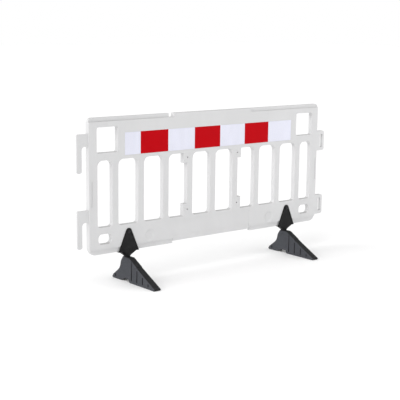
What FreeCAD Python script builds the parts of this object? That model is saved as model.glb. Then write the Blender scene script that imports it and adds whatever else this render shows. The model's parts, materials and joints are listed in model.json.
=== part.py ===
"""Moulded pedestrian barrier with two swivelling anti-trip feet, as a parametric FreeCAD document.

Lengths are in millimetres. X runs along the barrier, -Y is its front, Z is up from the ground.
Each piece is drawn about the middle of the panel, and its Placement then moves it so that the
document's origin is the centre of the whole object's footprint.
"""
import FreeCAD, Part
import math
import os
import Sketcher

SIZES = {
    # Hollow panel, moulded in one piece
    "panel_length": 1865, "panel_top": 1000, "panel_base": 190, "panel_depth": 34, "skin": 3.5,
    "rim_radius": 4, "base_corner_radius": 48, "head_corner_radius": 26,
    # Ten upright slots: eight equal ones between two narrower end slots
    "post_width": 60.7, "bar_width": 44.2, "end_slot_width": 103.3, "lower_band": 163,
    "slot_head_drop": 252, "slot_head_radius": 36, "slot_base_radius": 20,
    # Square hand grips in the top corners and low hand holes above the bottom corners
    "grip_side": 56.5, "grip_width": 147, "grip_height": 149, "grip_drop": 57, "grip_radius": 12,
    "hand_side": 65.5, "hand_width": 92, "hand_height": 60, "hand_lift": 61, "hand_radius": 24,
    # Narrow ledges along the top and bottom edges, and the flush block in the middle
    "centre_half": 316, "ledge_height": 24, "ledge_depth": 7, "top_notch_width": 35,
    "base_ledge_height": 31, "base_rise": 14, "base_notch_width": 24, "base_notch_height": 22,
    "lip_height": 36, "band_recess": 2,
    # Upright flutes that stiffen the posts
    "flute_inset": 12, "flute_width": 14, "flute_base": 482, "flute_head": 630,
    "flute_depth": 3,
    # Kiss-off dimples and drain holes in the lower band
    "dimple_inset": 437, "dimple_radius": 38, "dimple_floor_radius": 24, "dimple_depth": 6,
    "dimple_lift": 73,
    "drain_radius": 4, "drain_inset": 530,
    # Lugs for a sign plate, beside the second bar each way from the middle
    "lug_reach": 28.3, "lug_head_height": 62, "lug_base_height": 77, "lug_hole_radius": 4.5,
    "lug_hole_shift": 18.4, "lug_head_drop": 28, "lug_base_lift": 39, "boss_wall": 6,
    # Reflective film, seven blocks in one shallow recess
    "film_gap": 50, "film_drop": 95, "film_height": 134, "film_margin": 1.5, "film_recess": 1.2,
    "film_thickness": 0.5, "film_first": 115, "film_joint": 0.4,
    # Hooks on the left end, eyes on the right end
    "hook_reach": 78, "hook_leg_width": 33.5, "hook_arm_height": 73, "hook_leg_length": 153,
    "hook_thickness": 10, "hook_setback": 5, "hook_drop": 90, "low_hook_lift": 275,
    "eye_reach": 66, "eye_height": 135, "eye_ear_height": 23, "eye_strap": 13.5,
    "eye_back_wall": 3.5, "eye_slot_side": 7, "eye_cheek_width": 27.5, "link_gap": 24,
    "eye_corner_radius": 16, "link_clearance": 1.5, "hook_arch_radius": 20,
    "hook_tip_radius": 13.4,
    # Foot saddle: two cheeks that straddle the panel, a bridge under it and a round neck
    "foot_inset": 280, "cheek_thickness": 5, "saddle_width": 148, "saddle_height": 138,
    "saddle_apex_radius": 21, "bridge_thickness": 4, "flare_width": 108, "flare_height": 30.7,
    "neck_radius": 20, "neck_height": 5, "cheek_border": 8, "cheek_recess": 1.5,
    "cheek_edge_radius": 1.5,
    # Foot base: long front arm, short back arm, arch between them
    "foot_front": 310, "foot_back": 124, "foot_width": 47, "foot_top_width": 40,
    "toe_height": 12, "heel_height": 21, "foot_edge": 8, "shoulder_front": 50,
    "shoulder_back": 17, "flank_back": 36, "flank_drop": 28, "waist_back": 47,
    "waist_height": 74, "waist_radius": 60, "step_front": 125, "step_drop": 41,
    "step_ledge": 3.5, "arch_front": 58, "arch_back": 37, "arch_height": 20,
    "arch_front_height": 18, "arch_flat_front": 46, "arch_flat_back": 10,
    "foot_edge_radius": 2.5, "groove_first": 77, "groove_pitch": 56, "groove_width": 8,
    "groove_floor": 17.5, "groove_base": 14, "groove_head_gap": 14, "heel_groove_back": 88,
    "heel_groove_height": 30,
    # Saddle bolt, M8 through the cheeks and the panel
    "saddle_bolt_radius": 4, "saddle_bolt_drop": 23, "bolt_clearance": 0.25,
    "saddle_head_radius": 7.5, "saddle_head_height": 4.5, "saddle_nut_width": 13,
    "saddle_nut_height": 8, "saddle_washer_radius": 9, "saddle_washer_thickness": 1.6,
    "bolt_tail": 3, "thread_gap": 0.04,
    # Swivel bolt, M12 carriage bolt down through the neck and the foot base
    "swivel_bolt_radius": 6, "swivel_head_radius": 14, "swivel_head_height": 6,
    "swivel_square_height": 6, "bush_length": 55, "bush_wall": 3, "bush_clearance": 0.05,
    "swivel_gap": 0.3, "nut_pocket_clearance": 1.5,
    "swivel_washer_radius": 15, "swivel_washer_thickness": 2.5, "swivel_nut_width": 19,
    "swivel_nut_height": 12,
}
INNER_SLOTS = 8
RED_BLOCKS = 3
GROOVES = 4
SIDES = {"left": -1, "right": 1}
TINY = 1e-6
WALL_SHARE = 0.45
DOME_SHARE = 0.8
NUT_FLATS_SHARE = 0.75
NUT_COLLAR_SHARE = 0.44

HALF = "Sizes.panel_length/2"
DEPTH = "Sizes.panel_depth/2"
PITCH = ("((Sizes.panel_length - 2*Sizes.post_width - 2*Sizes.end_slot_width - Sizes.bar_width)"
         f"/{INNER_SLOTS})")
SLOT_BASE = "(Sizes.panel_base + Sizes.lower_band)"
SLOT_HEAD = "(Sizes.panel_top - Sizes.slot_head_drop)"
END_SLOT_INNER = f"({HALF} - Sizes.post_width - Sizes.end_slot_width)"
END_SLOT_OUTER = f"({HALF} - Sizes.post_width)"
GRIP_INNER = f"({HALF} - Sizes.grip_side - Sizes.grip_width)"
GRIP_HEAD = "(Sizes.panel_top - Sizes.grip_drop)"
HAND_BASE = "(Sizes.panel_base + Sizes.hand_lift)"
FILM_END = f"({GRIP_INNER} - Sizes.film_gap)"
FILM_HEAD = "(Sizes.panel_top - Sizes.film_drop)"
LUG_EDGE = f"({PITCH} + Sizes.bar_width/2 + Sizes.lug_reach)"
LUG_HOLE = f"({PITCH} + Sizes.lug_hole_shift)"
FOOT_OFFSET = f"({HALF} - Sizes.foot_inset)"
SADDLE_TOP = "(Sizes.panel_base + Sizes.saddle_height)"
SADDLE_BOLT_Z = f"({SADDLE_TOP} - Sizes.saddle_bolt_drop)"
CHEEK_FACE = "(Sizes.panel_depth/2 + Sizes.cheek_thickness)"
FLARE_BASE = "(Sizes.panel_base - Sizes.bridge_thickness - Sizes.flare_height)"
NECK_BASE = f"({FLARE_BASE} - Sizes.neck_height)"
FOOT_HEIGHT = f"({NECK_BASE} - Sizes.swivel_gap)"
STEP_HEIGHT = f"({FOOT_HEIGHT} - Sizes.step_drop)"
NUT_POCKET_HEIGHT = f"({FOOT_HEIGHT} - Sizes.bush_length)"
HEAD_SEAT = "(Sizes.panel_base - Sizes.swivel_head_height - Sizes.swivel_gap)"
SQUARE_HALF = "Sizes.swivel_bolt_radius"
BUSH_RADIUS = "(Sizes.swivel_bolt_radius + Sizes.bush_clearance + Sizes.bush_wall)"
HOOK_TOPS = {"upper": "(Sizes.panel_top - Sizes.hook_drop)",
             "lower": "(Sizes.panel_base + Sizes.low_hook_lift)"}


# Helpers ------------------------------------------------------------------------------------

def value(owner, text):
    """The number that an expression on the size sheet gives."""
    return float(owner.evalExpression(text))


def size_sheet(doc):
    """Spreadsheet of the driving dimensions, one alias a row."""
    sheet = doc.addObject("Spreadsheet::Sheet", "Sizes")
    for row, (alias, number) in enumerate(SIZES.items(), 1):
        sheet.set(f"A{row}", alias)
        sheet.set(f"B{row}", str(number))
        sheet.setAlias(f"B{row}", alias)
    doc.recompute()
    return sheet


def new_body(doc, name):
    """Empty PartDesign body."""
    body = doc.addObject("PartDesign::Body", name)
    return body


def origin_plane(body, role):
    """One of the body's own origin planes, by its role."""
    return next(feature for feature in body.Origin.OriginFeatures if feature.Role == role)


def empty_sketch(body, name, role, lift):
    """Sketch on an origin plane, lifted along the plane's normal by an expression."""
    sketch = body.newObject("Sketcher::SketchObject", name)
    sketch.AttachmentSupport = (origin_plane(body, role), [""])
    sketch.MapMode = "FlatFace"
    sketch.setExpression("AttachmentOffset.Base.z", lift)
    return sketch


def pin_point(sketch, geometry, end, corner, tag):
    """Tie one end of a sketch element to a pair of expressions measured from the origin."""
    for axis, text in zip("XY", corner):
        index = sketch.addConstraint(
            Sketcher.Constraint(f"Distance{axis}", -1, 1, geometry, end, value(sketch, text)))
        sketch.renameConstraint(index, f"{tag}_{axis.lower()}")
        sketch.setExpression(f"Constraints.{tag}_{axis.lower()}", text)


def outline(body, name, role, corners, lift="0"):
    """Closed outline of straight lines through corners, each a pair of expressions."""
    sketch = empty_sketch(body, name, role, lift)
    points = [FreeCAD.Vector(value(sketch, across), value(sketch, up), 0)
              for across, up in corners]
    for index, point in enumerate(points):
        following = points[(index + 1) % len(points)]
        sketch.addGeometry(Part.LineSegment(point, following), False)
    for index, corner in enumerate(corners):
        sketch.addConstraint(
            Sketcher.Constraint("Coincident", index, 2, (index + 1) % len(corners), 1))
        pin_point(sketch, index, 1, corner, f"corner{index}")
    return sketch


def rectangle(body, name, role, low, high, lift="0"):
    """Rectangle between two opposite corners, each a pair of expressions."""
    corners = [low, (high[0], low[1]), high, (low[0], high[1])]
    return outline(body, name, role, corners, lift)


def circles(body, name, role, centres, radius, lift="0"):
    """Equal circles about centres that are pairs of expressions."""
    sketch = empty_sketch(body, name, role, lift)
    for index, centre in enumerate(centres):
        middle = FreeCAD.Vector(value(sketch, centre[0]), value(sketch, centre[1]), 0)
        normal = FreeCAD.Vector(0, 0, 1)
        sketch.addGeometry(Part.Circle(middle, normal, value(sketch, radius)), False)
        pin_point(sketch, index, 3, centre, f"centre{index}")
        datum = sketch.addConstraint(
            Sketcher.Constraint("Radius", index, value(sketch, radius)))
        sketch.renameConstraint(datum, f"radius{index}")
        sketch.setExpression(f"Constraints.radius{index}", radius)
    return sketch


def pad(body, sketch, length, middle=False, reverse=False):
    """Pad a sketch by an expression, evenly about its plane when middle is set."""
    feature = body.newObject("PartDesign::Pad", f"{sketch.Name}_pad")
    feature.Profile = sketch
    feature.Midplane = middle
    feature.Reversed = reverse
    feature.Refine = False
    feature.setExpression("Length", length)
    return feature


def pocket(body, sketch, length, middle=False, reverse=False):
    """Cut a sketch by an expression, evenly about its plane when middle is set."""
    feature = body.newObject("PartDesign::Pocket", f"{sketch.Name}_pocket")
    feature.Profile = sketch
    feature.Midplane = middle
    feature.Reversed = reverse
    feature.Refine = False
    feature.setExpression("Length", length)
    return feature


def mirrored(body, name, role, features, refine=False):
    """Repeat features on the other side of an origin plane."""
    feature = body.newObject("PartDesign::Mirrored", name)
    feature.Originals = features
    feature.Refine = refine
    feature.MirrorPlane = (origin_plane(body, role), [""])
    body.Tip = feature
    return feature


def round_edges(body, name, radius, pick):
    """Fillet the edges of the body so far for which pick(edge) holds."""
    body.Document.recompute()
    base = body.Tip
    names = [f"Edge{index}" for index, edge in enumerate(base.Shape.Edges, 1) if pick(edge)]
    feature = body.newObject("PartDesign::Fillet", name)
    feature.Base = (base, names)
    feature.Refine = False
    feature.setExpression("Radius", radius)
    return feature


def runs_along(edge, axis):
    """Whether an edge is a straight line along an axis, 0, 1 or 2 for X, Y or Z."""
    if edge.Curve.TypeId != "Part::GeomLine":
        return False
    start, end = edge.Vertexes[0].Point, edge.Vertexes[-1].Point
    return all(abs(start[other] - end[other]) < TINY for other in range(3) if other != axis)


def cross_edge(edge, axis, places, tolerance=0.01):
    """Whether an edge runs along axis through one of the places on the other two axes."""
    if not runs_along(edge, axis):
        return False
    point = edge.Vertexes[0].Point
    across = [point[other] for other in range(3) if other != axis]
    return any(abs(across[0] - first) < tolerance and abs(across[1] - second) < tolerance
               for first, second in places)


def cylinder(doc, name, radius, length, axis="Z"):
    """Part cylinder along an axis, its sizes tied to expressions."""
    solid = doc.addObject("Part::Cylinder", name)
    solid.setExpression("Radius", radius)
    solid.setExpression("Height", length)
    if axis == "Y":
        solid.Placement.Rotation = FreeCAD.Rotation(FreeCAD.Vector(1, 0, 0), -90)
    return solid


def hexagon(doc, name, width, length, axis="Z"):
    """Six-sided prism whose flats are width apart."""
    solid = doc.addObject("Part::Prism", name)
    solid.Polygon = 6
    solid.setExpression("Circumradius", f"{width} / sqrt(3)")
    solid.setExpression("Height", length)
    if axis == "Y":
        solid.Placement.Rotation = FreeCAD.Rotation(FreeCAD.Vector(1, 0, 0), -90)
    return solid


def put(feature, across="0", along="0", up="0"):
    """Tie an object's place to expressions."""
    feature.setExpression("Placement.Base.x", across)
    feature.setExpression("Placement.Base.y", along)
    feature.setExpression("Placement.Base.z", up)
    return feature


def fuse(doc, name, shapes):
    """Union of several objects."""
    union = doc.addObject("Part::MultiFuse", name)
    union.Shapes = shapes
    union.Refine = True
    return union


def cut(doc, name, base, tool):
    """One object less another."""
    difference = doc.addObject("Part::Cut", name)
    difference.Base = base
    difference.Tool = tool
    difference.Refine = True
    return difference


def group(doc, name, members):
    """Several equal loose solids that share one node."""
    compound = doc.addObject("Part::Compound", name)
    compound.Links = members
    return compound


def finish(feature, label, across="0", along="0", up="0"):
    """Name a finished sub-part and move it to the frame at the footprint's centre."""
    feature.Label = label
    return put(feature, f"{across} + (Sizes.hook_reach - Sizes.eye_reach)/2",
               f"{along} + (Sizes.foot_front - Sizes.foot_back)/2", up)


# Panel --------------------------------------------------------------------------------------

def moulding(doc, name, inset):
    """The panel's plain body, or its hollow when inset is the skin.

    Every outline is moved into the material by inset, so that the hollow follows the outside at
    one wall thickness, behind its recesses too.
    """
    body = new_body(doc, name)
    half = f"({HALF} - {inset})"
    face = f"({DEPTH} - {inset})"
    depth = f"(Sizes.panel_depth - 2*{inset})"
    through = "(2*Sizes.panel_depth)"
    base, top = f"(Sizes.panel_base + {inset})", f"(Sizes.panel_top - {inset})"
    pad(body, rectangle(body, f"{name}_blank", "XZ_Plane", (f"-{half}", base), (half, top)),
        depth, middle=True)

    def corner_places(places):
        return [(value(body, across), value(body, up)) for across, up in places]

    def both_sides(places):
        return corner_places(places) + corner_places([(f"-{across}", up) for across, up in places])

    # Upright slots, hand grips and hand holes
    slot_low, slot_high = f"({SLOT_BASE} - {inset})", f"({SLOT_HEAD} + {inset})"
    slot_half = f"(({PITCH} - Sizes.bar_width)/2 + {inset})"
    first_centre = f"({PITCH}*{(INNER_SLOTS - 1) / 2})"
    slot = pocket(body, rectangle(
        body, f"{name}_slot", "XZ_Plane", (f"-{first_centre} - {slot_half}", slot_low),
        (f"-{first_centre} + {slot_half}", slot_high)), through, middle=True)
    row = body.newObject("PartDesign::LinearPattern", f"{name}_slot_row")
    row.Originals = [slot]
    row.Direction = (origin_plane(body, "X_Axis"), [""])
    row.setExpression("Length", f"{PITCH}*{INNER_SLOTS - 1}")
    row.Occurrences = INNER_SLOTS
    row.Refine = False
    body.Tip = row
    grip_low = f"({GRIP_HEAD} - Sizes.grip_height - {inset})"
    hand_outer = f"({HALF} - Sizes.hand_side)"
    openings = {
        "end_slot": ((f"({END_SLOT_INNER} - {inset})", slot_low),
                     (f"({END_SLOT_OUTER} + {inset})", slot_high)),
        "grip": ((f"({GRIP_INNER} - {inset})", grip_low),
                 (f"({HALF} - Sizes.grip_side + {inset})", f"({GRIP_HEAD} + {inset})")),
        "hand": ((f"({hand_outer} - Sizes.hand_width - {inset})", f"({HAND_BASE} - {inset})"),
                 (f"({hand_outer} + {inset})", f"({HAND_BASE} + Sizes.hand_height + {inset})")),
    }
    cuts = [pocket(body, rectangle(body, f"{name}_{key}", "XZ_Plane", low, high),
                   through, middle=True)
            for key, (low, high) in openings.items()]
    mirrored(body, f"{name}_ends", "YZ_Plane", cuts)

    # The middle of the bottom edge stands higher, and each edge has one small open notch
    centre = f"(Sizes.centre_half + {inset})"
    pocket(body, rectangle(
        body, f"{name}_base_rise", "XZ_Plane", (f"-{centre}", "0"),
        (centre, f"Sizes.panel_base + Sizes.base_rise + {inset}")), through, middle=True)
    pocket(body, rectangle(
        body, f"{name}_base_notch", "XZ_Plane",
        (f"Sizes.centre_half - Sizes.base_notch_width/2 - {inset}", "0"),
        (f"Sizes.centre_half + Sizes.base_notch_width/2 + {inset}",
         f"Sizes.panel_base + Sizes.base_notch_height + {inset}")), through, middle=True)
    pocket(body, rectangle(
        body, f"{name}_top_notch", "XZ_Plane",
        (f"-Sizes.centre_half - Sizes.top_notch_width - {inset}",
         f"Sizes.panel_top - Sizes.ledge_height - {inset}"),
        (f"-Sizes.centre_half + {inset}", "2*Sizes.panel_top")), through, middle=True)

    # Corner roundings, which swap between convex and hollow corners as the inset grows
    def slot_corners(up):
        inner = corner_places([
            (f"{first_centre} - {PITCH}*{index} + {side}{slot_half}", up)
            for index in range(INNER_SLOTS) for side in "+-"])
        ends = both_sides([(openings["end_slot"][0][0], up), (openings["end_slot"][1][0], up)])
        return inner + ends

    def window_corners(key):
        (low_x, low_z), (high_x, high_z) = openings[key]
        return both_sides([(low_x, low_z), (high_x, low_z), (low_x, high_z), (high_x, high_z)])

    roundings = [
        ("slot_heads", f"Sizes.slot_head_radius + {inset}", slot_corners(slot_high)),
        ("slot_bases", f"Sizes.slot_base_radius + {inset}", slot_corners(slot_low)),
        ("grip_corners", f"Sizes.grip_radius + {inset}", window_corners("grip")),
        ("hand_corners", f"Sizes.hand_radius + {inset}", window_corners("hand")),
        ("base_corners", f"Sizes.base_corner_radius - {inset}", both_sides([(half, base)])),
        ("head_corners", f"Sizes.head_corner_radius - {inset}", both_sides([(half, top)])),
    ]
    for key, radius, places in roundings:
        round_edges(body, f"{name}_{key}", radius,
                    lambda edge, places=places: cross_edge(edge, 1, places))

    # Sign lugs fill the corners of two slots beside their bars
    lug_inner = f"({PITCH} + Sizes.bar_width/4)"
    lug_outer = f"({LUG_EDGE} - {inset})"
    lugs = [
        pad(body, rectangle(
            body, f"{name}_lug_head", "XZ_Plane",
            (lug_inner, f"{SLOT_HEAD} - Sizes.lug_head_height + {inset}"),
            (lug_outer, f"{SLOT_HEAD} + Sizes.slot_head_radius/2")), depth, middle=True),
        pad(body, rectangle(
            body, f"{name}_lug_base", "XZ_Plane",
            (lug_inner, f"{SLOT_BASE} - Sizes.slot_base_radius"),
            (lug_outer, f"{SLOT_BASE} + Sizes.lug_base_height - {inset}")), depth, middle=True),
    ]
    mirrored(body, f"{name}_lugs", "YZ_Plane", lugs, refine=True)
    if inset == "0":
        flank = value(body, face)
        round_edges(body, f"{name}_rim", "Sizes.rim_radius", lambda edge: all(
            abs(abs(vertex.Point.y) - flank) < TINY for vertex in edge.Vertexes)
            and edge.BoundBox.YLength < TINY)

    # Recesses in the front face, repeated on the back face
    def recess(key, low, high, deep):
        return pocket(body, rectangle(body, f"{name}_{key}", "XZ_Plane", low, high, face), deep)

    ledge_z = f"(Sizes.panel_top - Sizes.ledge_height - {inset})"
    past = f"({HALF} + Sizes.rim_radius)"
    edge_over, edge_under = "2*Sizes.panel_top", "0"
    base_ledge_z = f"(Sizes.panel_base + Sizes.base_ledge_height + {inset})"
    lip_z = f"(Sizes.panel_base + Sizes.base_rise + Sizes.lip_height + {inset})"
    recesses = [
        recess("ledge_left", (f"-{past}", ledge_z), (f"-{centre}", edge_over),
               "Sizes.ledge_depth"),
        recess("ledge_right", (f"Sizes.centre_half - {inset}", ledge_z), (past, edge_over),
               "Sizes.ledge_depth"),
        recess("base_left", (f"-{past}", edge_under), (f"-Sizes.centre_half + {inset}",
                                                       base_ledge_z), "Sizes.ledge_depth"),
        recess("base_right", (f"Sizes.centre_half - {inset}", edge_under),
               (past, base_ledge_z), "Sizes.ledge_depth"),
        recess("lip", (f"-{centre}", edge_under), (centre, lip_z), "Sizes.ledge_depth/2"),
        recess("band", (f"-{centre}", f"{lip_z} - Sizes.rim_radius"),
               (centre, f"{SLOT_BASE} - Sizes.slot_base_radius + {inset}"),
               "Sizes.band_recess"),
        recess("film", (f"-{FILM_END} - Sizes.film_margin - {inset}",
                        f"{FILM_HEAD} - Sizes.film_height - 2*Sizes.film_margin - {inset}"),
               (f"{FILM_END} + Sizes.film_margin + {inset}", f"{FILM_HEAD} + {inset}"),
               "Sizes.film_recess"),
    ]
    flute = f"({HALF} - Sizes.flute_inset)"
    flute_low, flute_high = f"Sizes.flute_base - {inset}", f"Sizes.flute_head + {inset}"
    for side, sign in SIDES.items():
        edges = sorted([f"{sign}*({flute} + {inset})",
                        f"{sign}*({flute} - Sizes.flute_width - {inset})"],
                       key=lambda text: value(body, text))
        recesses.append(recess(f"{side}_flute", (edges[0], flute_low), (edges[1], flute_high),
                               "Sizes.flute_depth"))
    dimple_x = f"({HALF} - Sizes.dimple_inset)"
    dimple_z = "Sizes.panel_base + Sizes.dimple_lift"
    for side, sign in SIDES.items():
        dish = pocket(body, circles(
            body, f"{name}_{side}_dimple", "XZ_Plane", [(f"{sign}*{dimple_x}", dimple_z)],
            f"Sizes.dimple_radius + {inset}", face), "Sizes.dimple_depth")
        dish.setExpression("TaperAngle", "-atan((Sizes.dimple_radius - Sizes.dimple_floor_radius)"
                                         "/Sizes.dimple_depth)")
        recesses.append(dish)
    mirrored(body, f"{name}_faces", "XZ_Plane", recesses)
    return body


def hook(doc, key):
    """Flat hook that hangs beside the left post, its leg pointing down."""
    name = f"{key}_hook"
    body = new_body(doc, name)
    top = HOOK_TOPS[key]
    arch = f"({top} - Sizes.hook_arm_height)"
    foot = f"({arch} - Sizes.hook_leg_length)"
    outer = f"(-{HALF} - Sizes.hook_reach)"
    inner = f"(-{HALF} - Sizes.hook_reach + Sizes.hook_leg_width)"
    front = f"{DEPTH} - Sizes.hook_setback"
    pad(body, rectangle(body, f"{name}_plate", "XZ_Plane", (outer, foot),
                        (f"-{HALF} + Sizes.skin", top), front),
        "Sizes.hook_thickness", reverse=True)
    pocket(body, rectangle(body, f"{name}_gap", "XZ_Plane", (inner, f"{foot} - Sizes.skin"),
                           (f"-{HALF}", arch), front), "Sizes.hook_thickness")

    def places(*corners):
        return [(value(body, across), value(body, up)) for across, up in corners]

    gap = "(Sizes.hook_reach - Sizes.hook_leg_width)"
    round_edges(body, f"{name}_arch", f"min(Sizes.hook_arch_radius; {gap}*{WALL_SHARE})",
                lambda edge: cross_edge(edge, 1, places((inner, arch), (f"-{HALF}", arch))))
    round_edges(body, f"{name}_tip",
                f"min(Sizes.hook_tip_radius; Sizes.hook_leg_width*{WALL_SHARE})",
                lambda edge: cross_edge(edge, 1, places((inner, foot), (outer, foot))))
    round_edges(body, f"{name}_shoulder", "Sizes.hook_thickness",
                lambda edge: cross_edge(edge, 1, places((outer, top))))
    return body


def eye(doc, key):
    """Eye on the right post that takes a neighbour's hook leg from above.

    Two ears hold the leg all round, a strap joins them outside and a cheek covers the leg in
    front, so the leg shows through the gap between cheek and strap.
    """
    name = f"{key}_eye"
    body = new_body(doc, name)
    top = f"({HOOK_TOPS[key]} - Sizes.hook_arm_height - Sizes.link_gap)"
    foot = f"({top} - Sizes.eye_height)"
    outer = f"({HALF} + Sizes.eye_reach)"
    strap = f"({outer} - Sizes.eye_strap)"
    slot = f"({HALF} + Sizes.eye_slot_side)"
    slot_end = f"({slot} + Sizes.hook_leg_width + 2*Sizes.link_clearance)"
    leg_front = f"({DEPTH} - Sizes.hook_setback + Sizes.link_clearance)"
    leg_depth = "(Sizes.hook_thickness + 2*Sizes.link_clearance)"
    depth = f"({DEPTH} - {leg_front} + {leg_depth} + Sizes.eye_back_wall)"
    ear_low, ear_high = f"({foot} + Sizes.eye_ear_height)", f"({top} - Sizes.eye_ear_height)"
    pad(body, rectangle(body, f"{name}_block", "XZ_Plane",
                        (f"{HALF} - Sizes.rim_radius - Sizes.skin/2", foot), (outer, top), DEPTH),
        depth, reverse=True)

    def places(*corners):
        return [(value(body, across), value(body, up)) for across, up in corners]

    round_edges(body, f"{name}_corners", "Sizes.eye_corner_radius",
                lambda edge: cross_edge(edge, 1, places((outer, foot), (outer, top))))
    pocket(body, rectangle(body, f"{name}_window", "XZ_Plane",
                           (f"{HALF} + Sizes.eye_cheek_width", ear_low), (strap, ear_high), DEPTH),
           depth)
    pocket(body, rectangle(body, f"{name}_back", "XZ_Plane", (slot, ear_low), (strap, ear_high),
                           leg_front), "Sizes.panel_depth")
    pocket(body, rectangle(
        body, f"{name}_slot", "XY_Plane", (slot, f"-{leg_front}"),
        (slot_end, f"-{leg_front} + {leg_depth}"), foot), "Sizes.eye_height", reverse=True)
    return body


def barrier_panel(doc):
    """Hollow one-piece panel with its hooks, eyes, bolt bosses and drain holes."""
    outside = moulding(doc, "outside", "0")
    hollow = moulding(doc, "hollow", "Sizes.skin")
    ends = [maker(doc, key) for key in HOOK_TOPS for maker in (hook, eye)]
    lug_z = {"head": f"{SLOT_HEAD} - Sizes.lug_head_drop",
             "base": f"{SLOT_BASE} + Sizes.lug_base_lift"}
    bosses, holes, drains = [], [], []
    for side, sign in SIDES.items():
        places = {f"{side}_{level}_lug": (f"{sign}*{LUG_HOLE}", height, "Sizes.lug_hole_radius")
                  for level, height in lug_z.items()}
        places[f"{side}_saddle"] = (f"{sign}*{FOOT_OFFSET}", SADDLE_BOLT_Z,
                                    "Sizes.saddle_bolt_radius + Sizes.bolt_clearance")
        for key, (across, up, radius) in places.items():
            boss = cylinder(doc, f"{key}_boss", f"{radius} + Sizes.boss_wall",
                            "Sizes.panel_depth", "Y")
            bosses.append(put(boss, across, f"-{DEPTH}", up))
            hole = cylinder(doc, f"{key}_hole", radius, "2*Sizes.panel_depth", "Y")
            holes.append(put(hole, across, "-Sizes.panel_depth", up))
        drain = cylinder(doc, f"{side}_drain", "Sizes.drain_radius", "4*Sizes.skin")
        drains.append(put(drain, f"{sign}*({HALF} - Sizes.drain_inset)", "0",
                          "Sizes.panel_base - 2*Sizes.skin"))
    whole = fuse(doc, "panel_outside", [outside] + ends)
    void = cut(doc, "panel_void", hollow, fuse(doc, "bosses", bosses))
    shell = cut(doc, "panel_shell", whole, void)
    return finish(cut(doc, "barrier_panel", shell, fuse(doc, "panel_holes", holes + drains)),
                  "barrier_panel")


def film_blocks(doc):
    """Seven blocks of reflective film, white at both ends, in the front recess."""
    count = 2 * RED_BLOCKS + 1
    block = f"((2*{FILM_END} - Sizes.film_first)/{count - 1})"
    floor = "-Sizes.panel_depth/2 + Sizes.film_recess"
    for index in range(count):
        colour = "red" if index % 2 else "white"
        label = f"film_{colour}_{index // 2 + 1}"
        film = doc.addObject("Part::Box", label)
        width = "Sizes.film_first" if index == 0 else block
        start = "0" if index == 0 else f"Sizes.film_first + {block}*{index - 1}"
        film.setExpression("Length", f"{width} - Sizes.film_joint")
        film.setExpression("Width", "Sizes.film_thickness")
        film.setExpression("Height", "Sizes.film_height")
        finish(film, label, f"-{FILM_END} + {start}", f"{floor} - Sizes.film_thickness",
               f"{FILM_HEAD} - Sizes.film_height - Sizes.film_margin")


# Feet ---------------------------------------------------------------------------------------

def foot_x(side):
    """Where the foot on one side stands along the panel."""
    return f"{SIDES[side]}*{FOOT_OFFSET}"


def cheek_outline(body, name, inset="0", lift="0"):
    """Triangle with a rounded apex, drawn inset from the cheek's edge."""
    sketch = empty_sketch(body, name, "XZ_Plane", lift)
    slant = f"({inset}*(1 + Sizes.saddle_width/Sizes.saddle_height)/2)"
    half = f"(Sizes.saddle_width/2 - {inset} - {slant})"
    base = f"(Sizes.panel_base - Sizes.bridge_thickness + {inset})"
    radius = f"(Sizes.saddle_apex_radius - {inset})"
    middle = f"({SADDLE_TOP} - Sizes.saddle_apex_radius)"
    reach, low, size, up = (value(sketch, text) for text in (half, base, radius, middle))
    lean = math.atan2(reach, up - low)
    left, right = FreeCAD.Vector(-reach, low, 0), FreeCAD.Vector(reach, low, 0)
    apex = Part.Circle(FreeCAD.Vector(0, up, 0), FreeCAD.Vector(0, 0, 1), size)
    arc = Part.ArcOfCircle(apex, lean, math.pi - lean)
    sketch.addGeometry(Part.LineSegment(left, right), False)
    sketch.addGeometry(Part.LineSegment(right, arc.StartPoint), False)
    sketch.addGeometry(arc, False)
    sketch.addGeometry(Part.LineSegment(arc.EndPoint, left), False)
    sketch.addConstraint(Sketcher.Constraint("Coincident", 0, 2, 1, 1))
    sketch.addConstraint(Sketcher.Constraint("Tangent", 1, 2, 2, 1))
    sketch.addConstraint(Sketcher.Constraint("Tangent", 2, 2, 3, 1))
    sketch.addConstraint(Sketcher.Constraint("Coincident", 3, 2, 0, 1))
    pin_point(sketch, 0, 1, (f"-{half}", base), "left")
    pin_point(sketch, 1, 1, (half, base), "right")
    pin_point(sketch, 2, 3, ("0", middle), "apex")
    datum = sketch.addConstraint(Sketcher.Constraint("Radius", 2, size))
    sketch.renameConstraint(datum, "apex_radius")
    sketch.setExpression("Constraints.apex_radius", radius)
    return sketch


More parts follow.
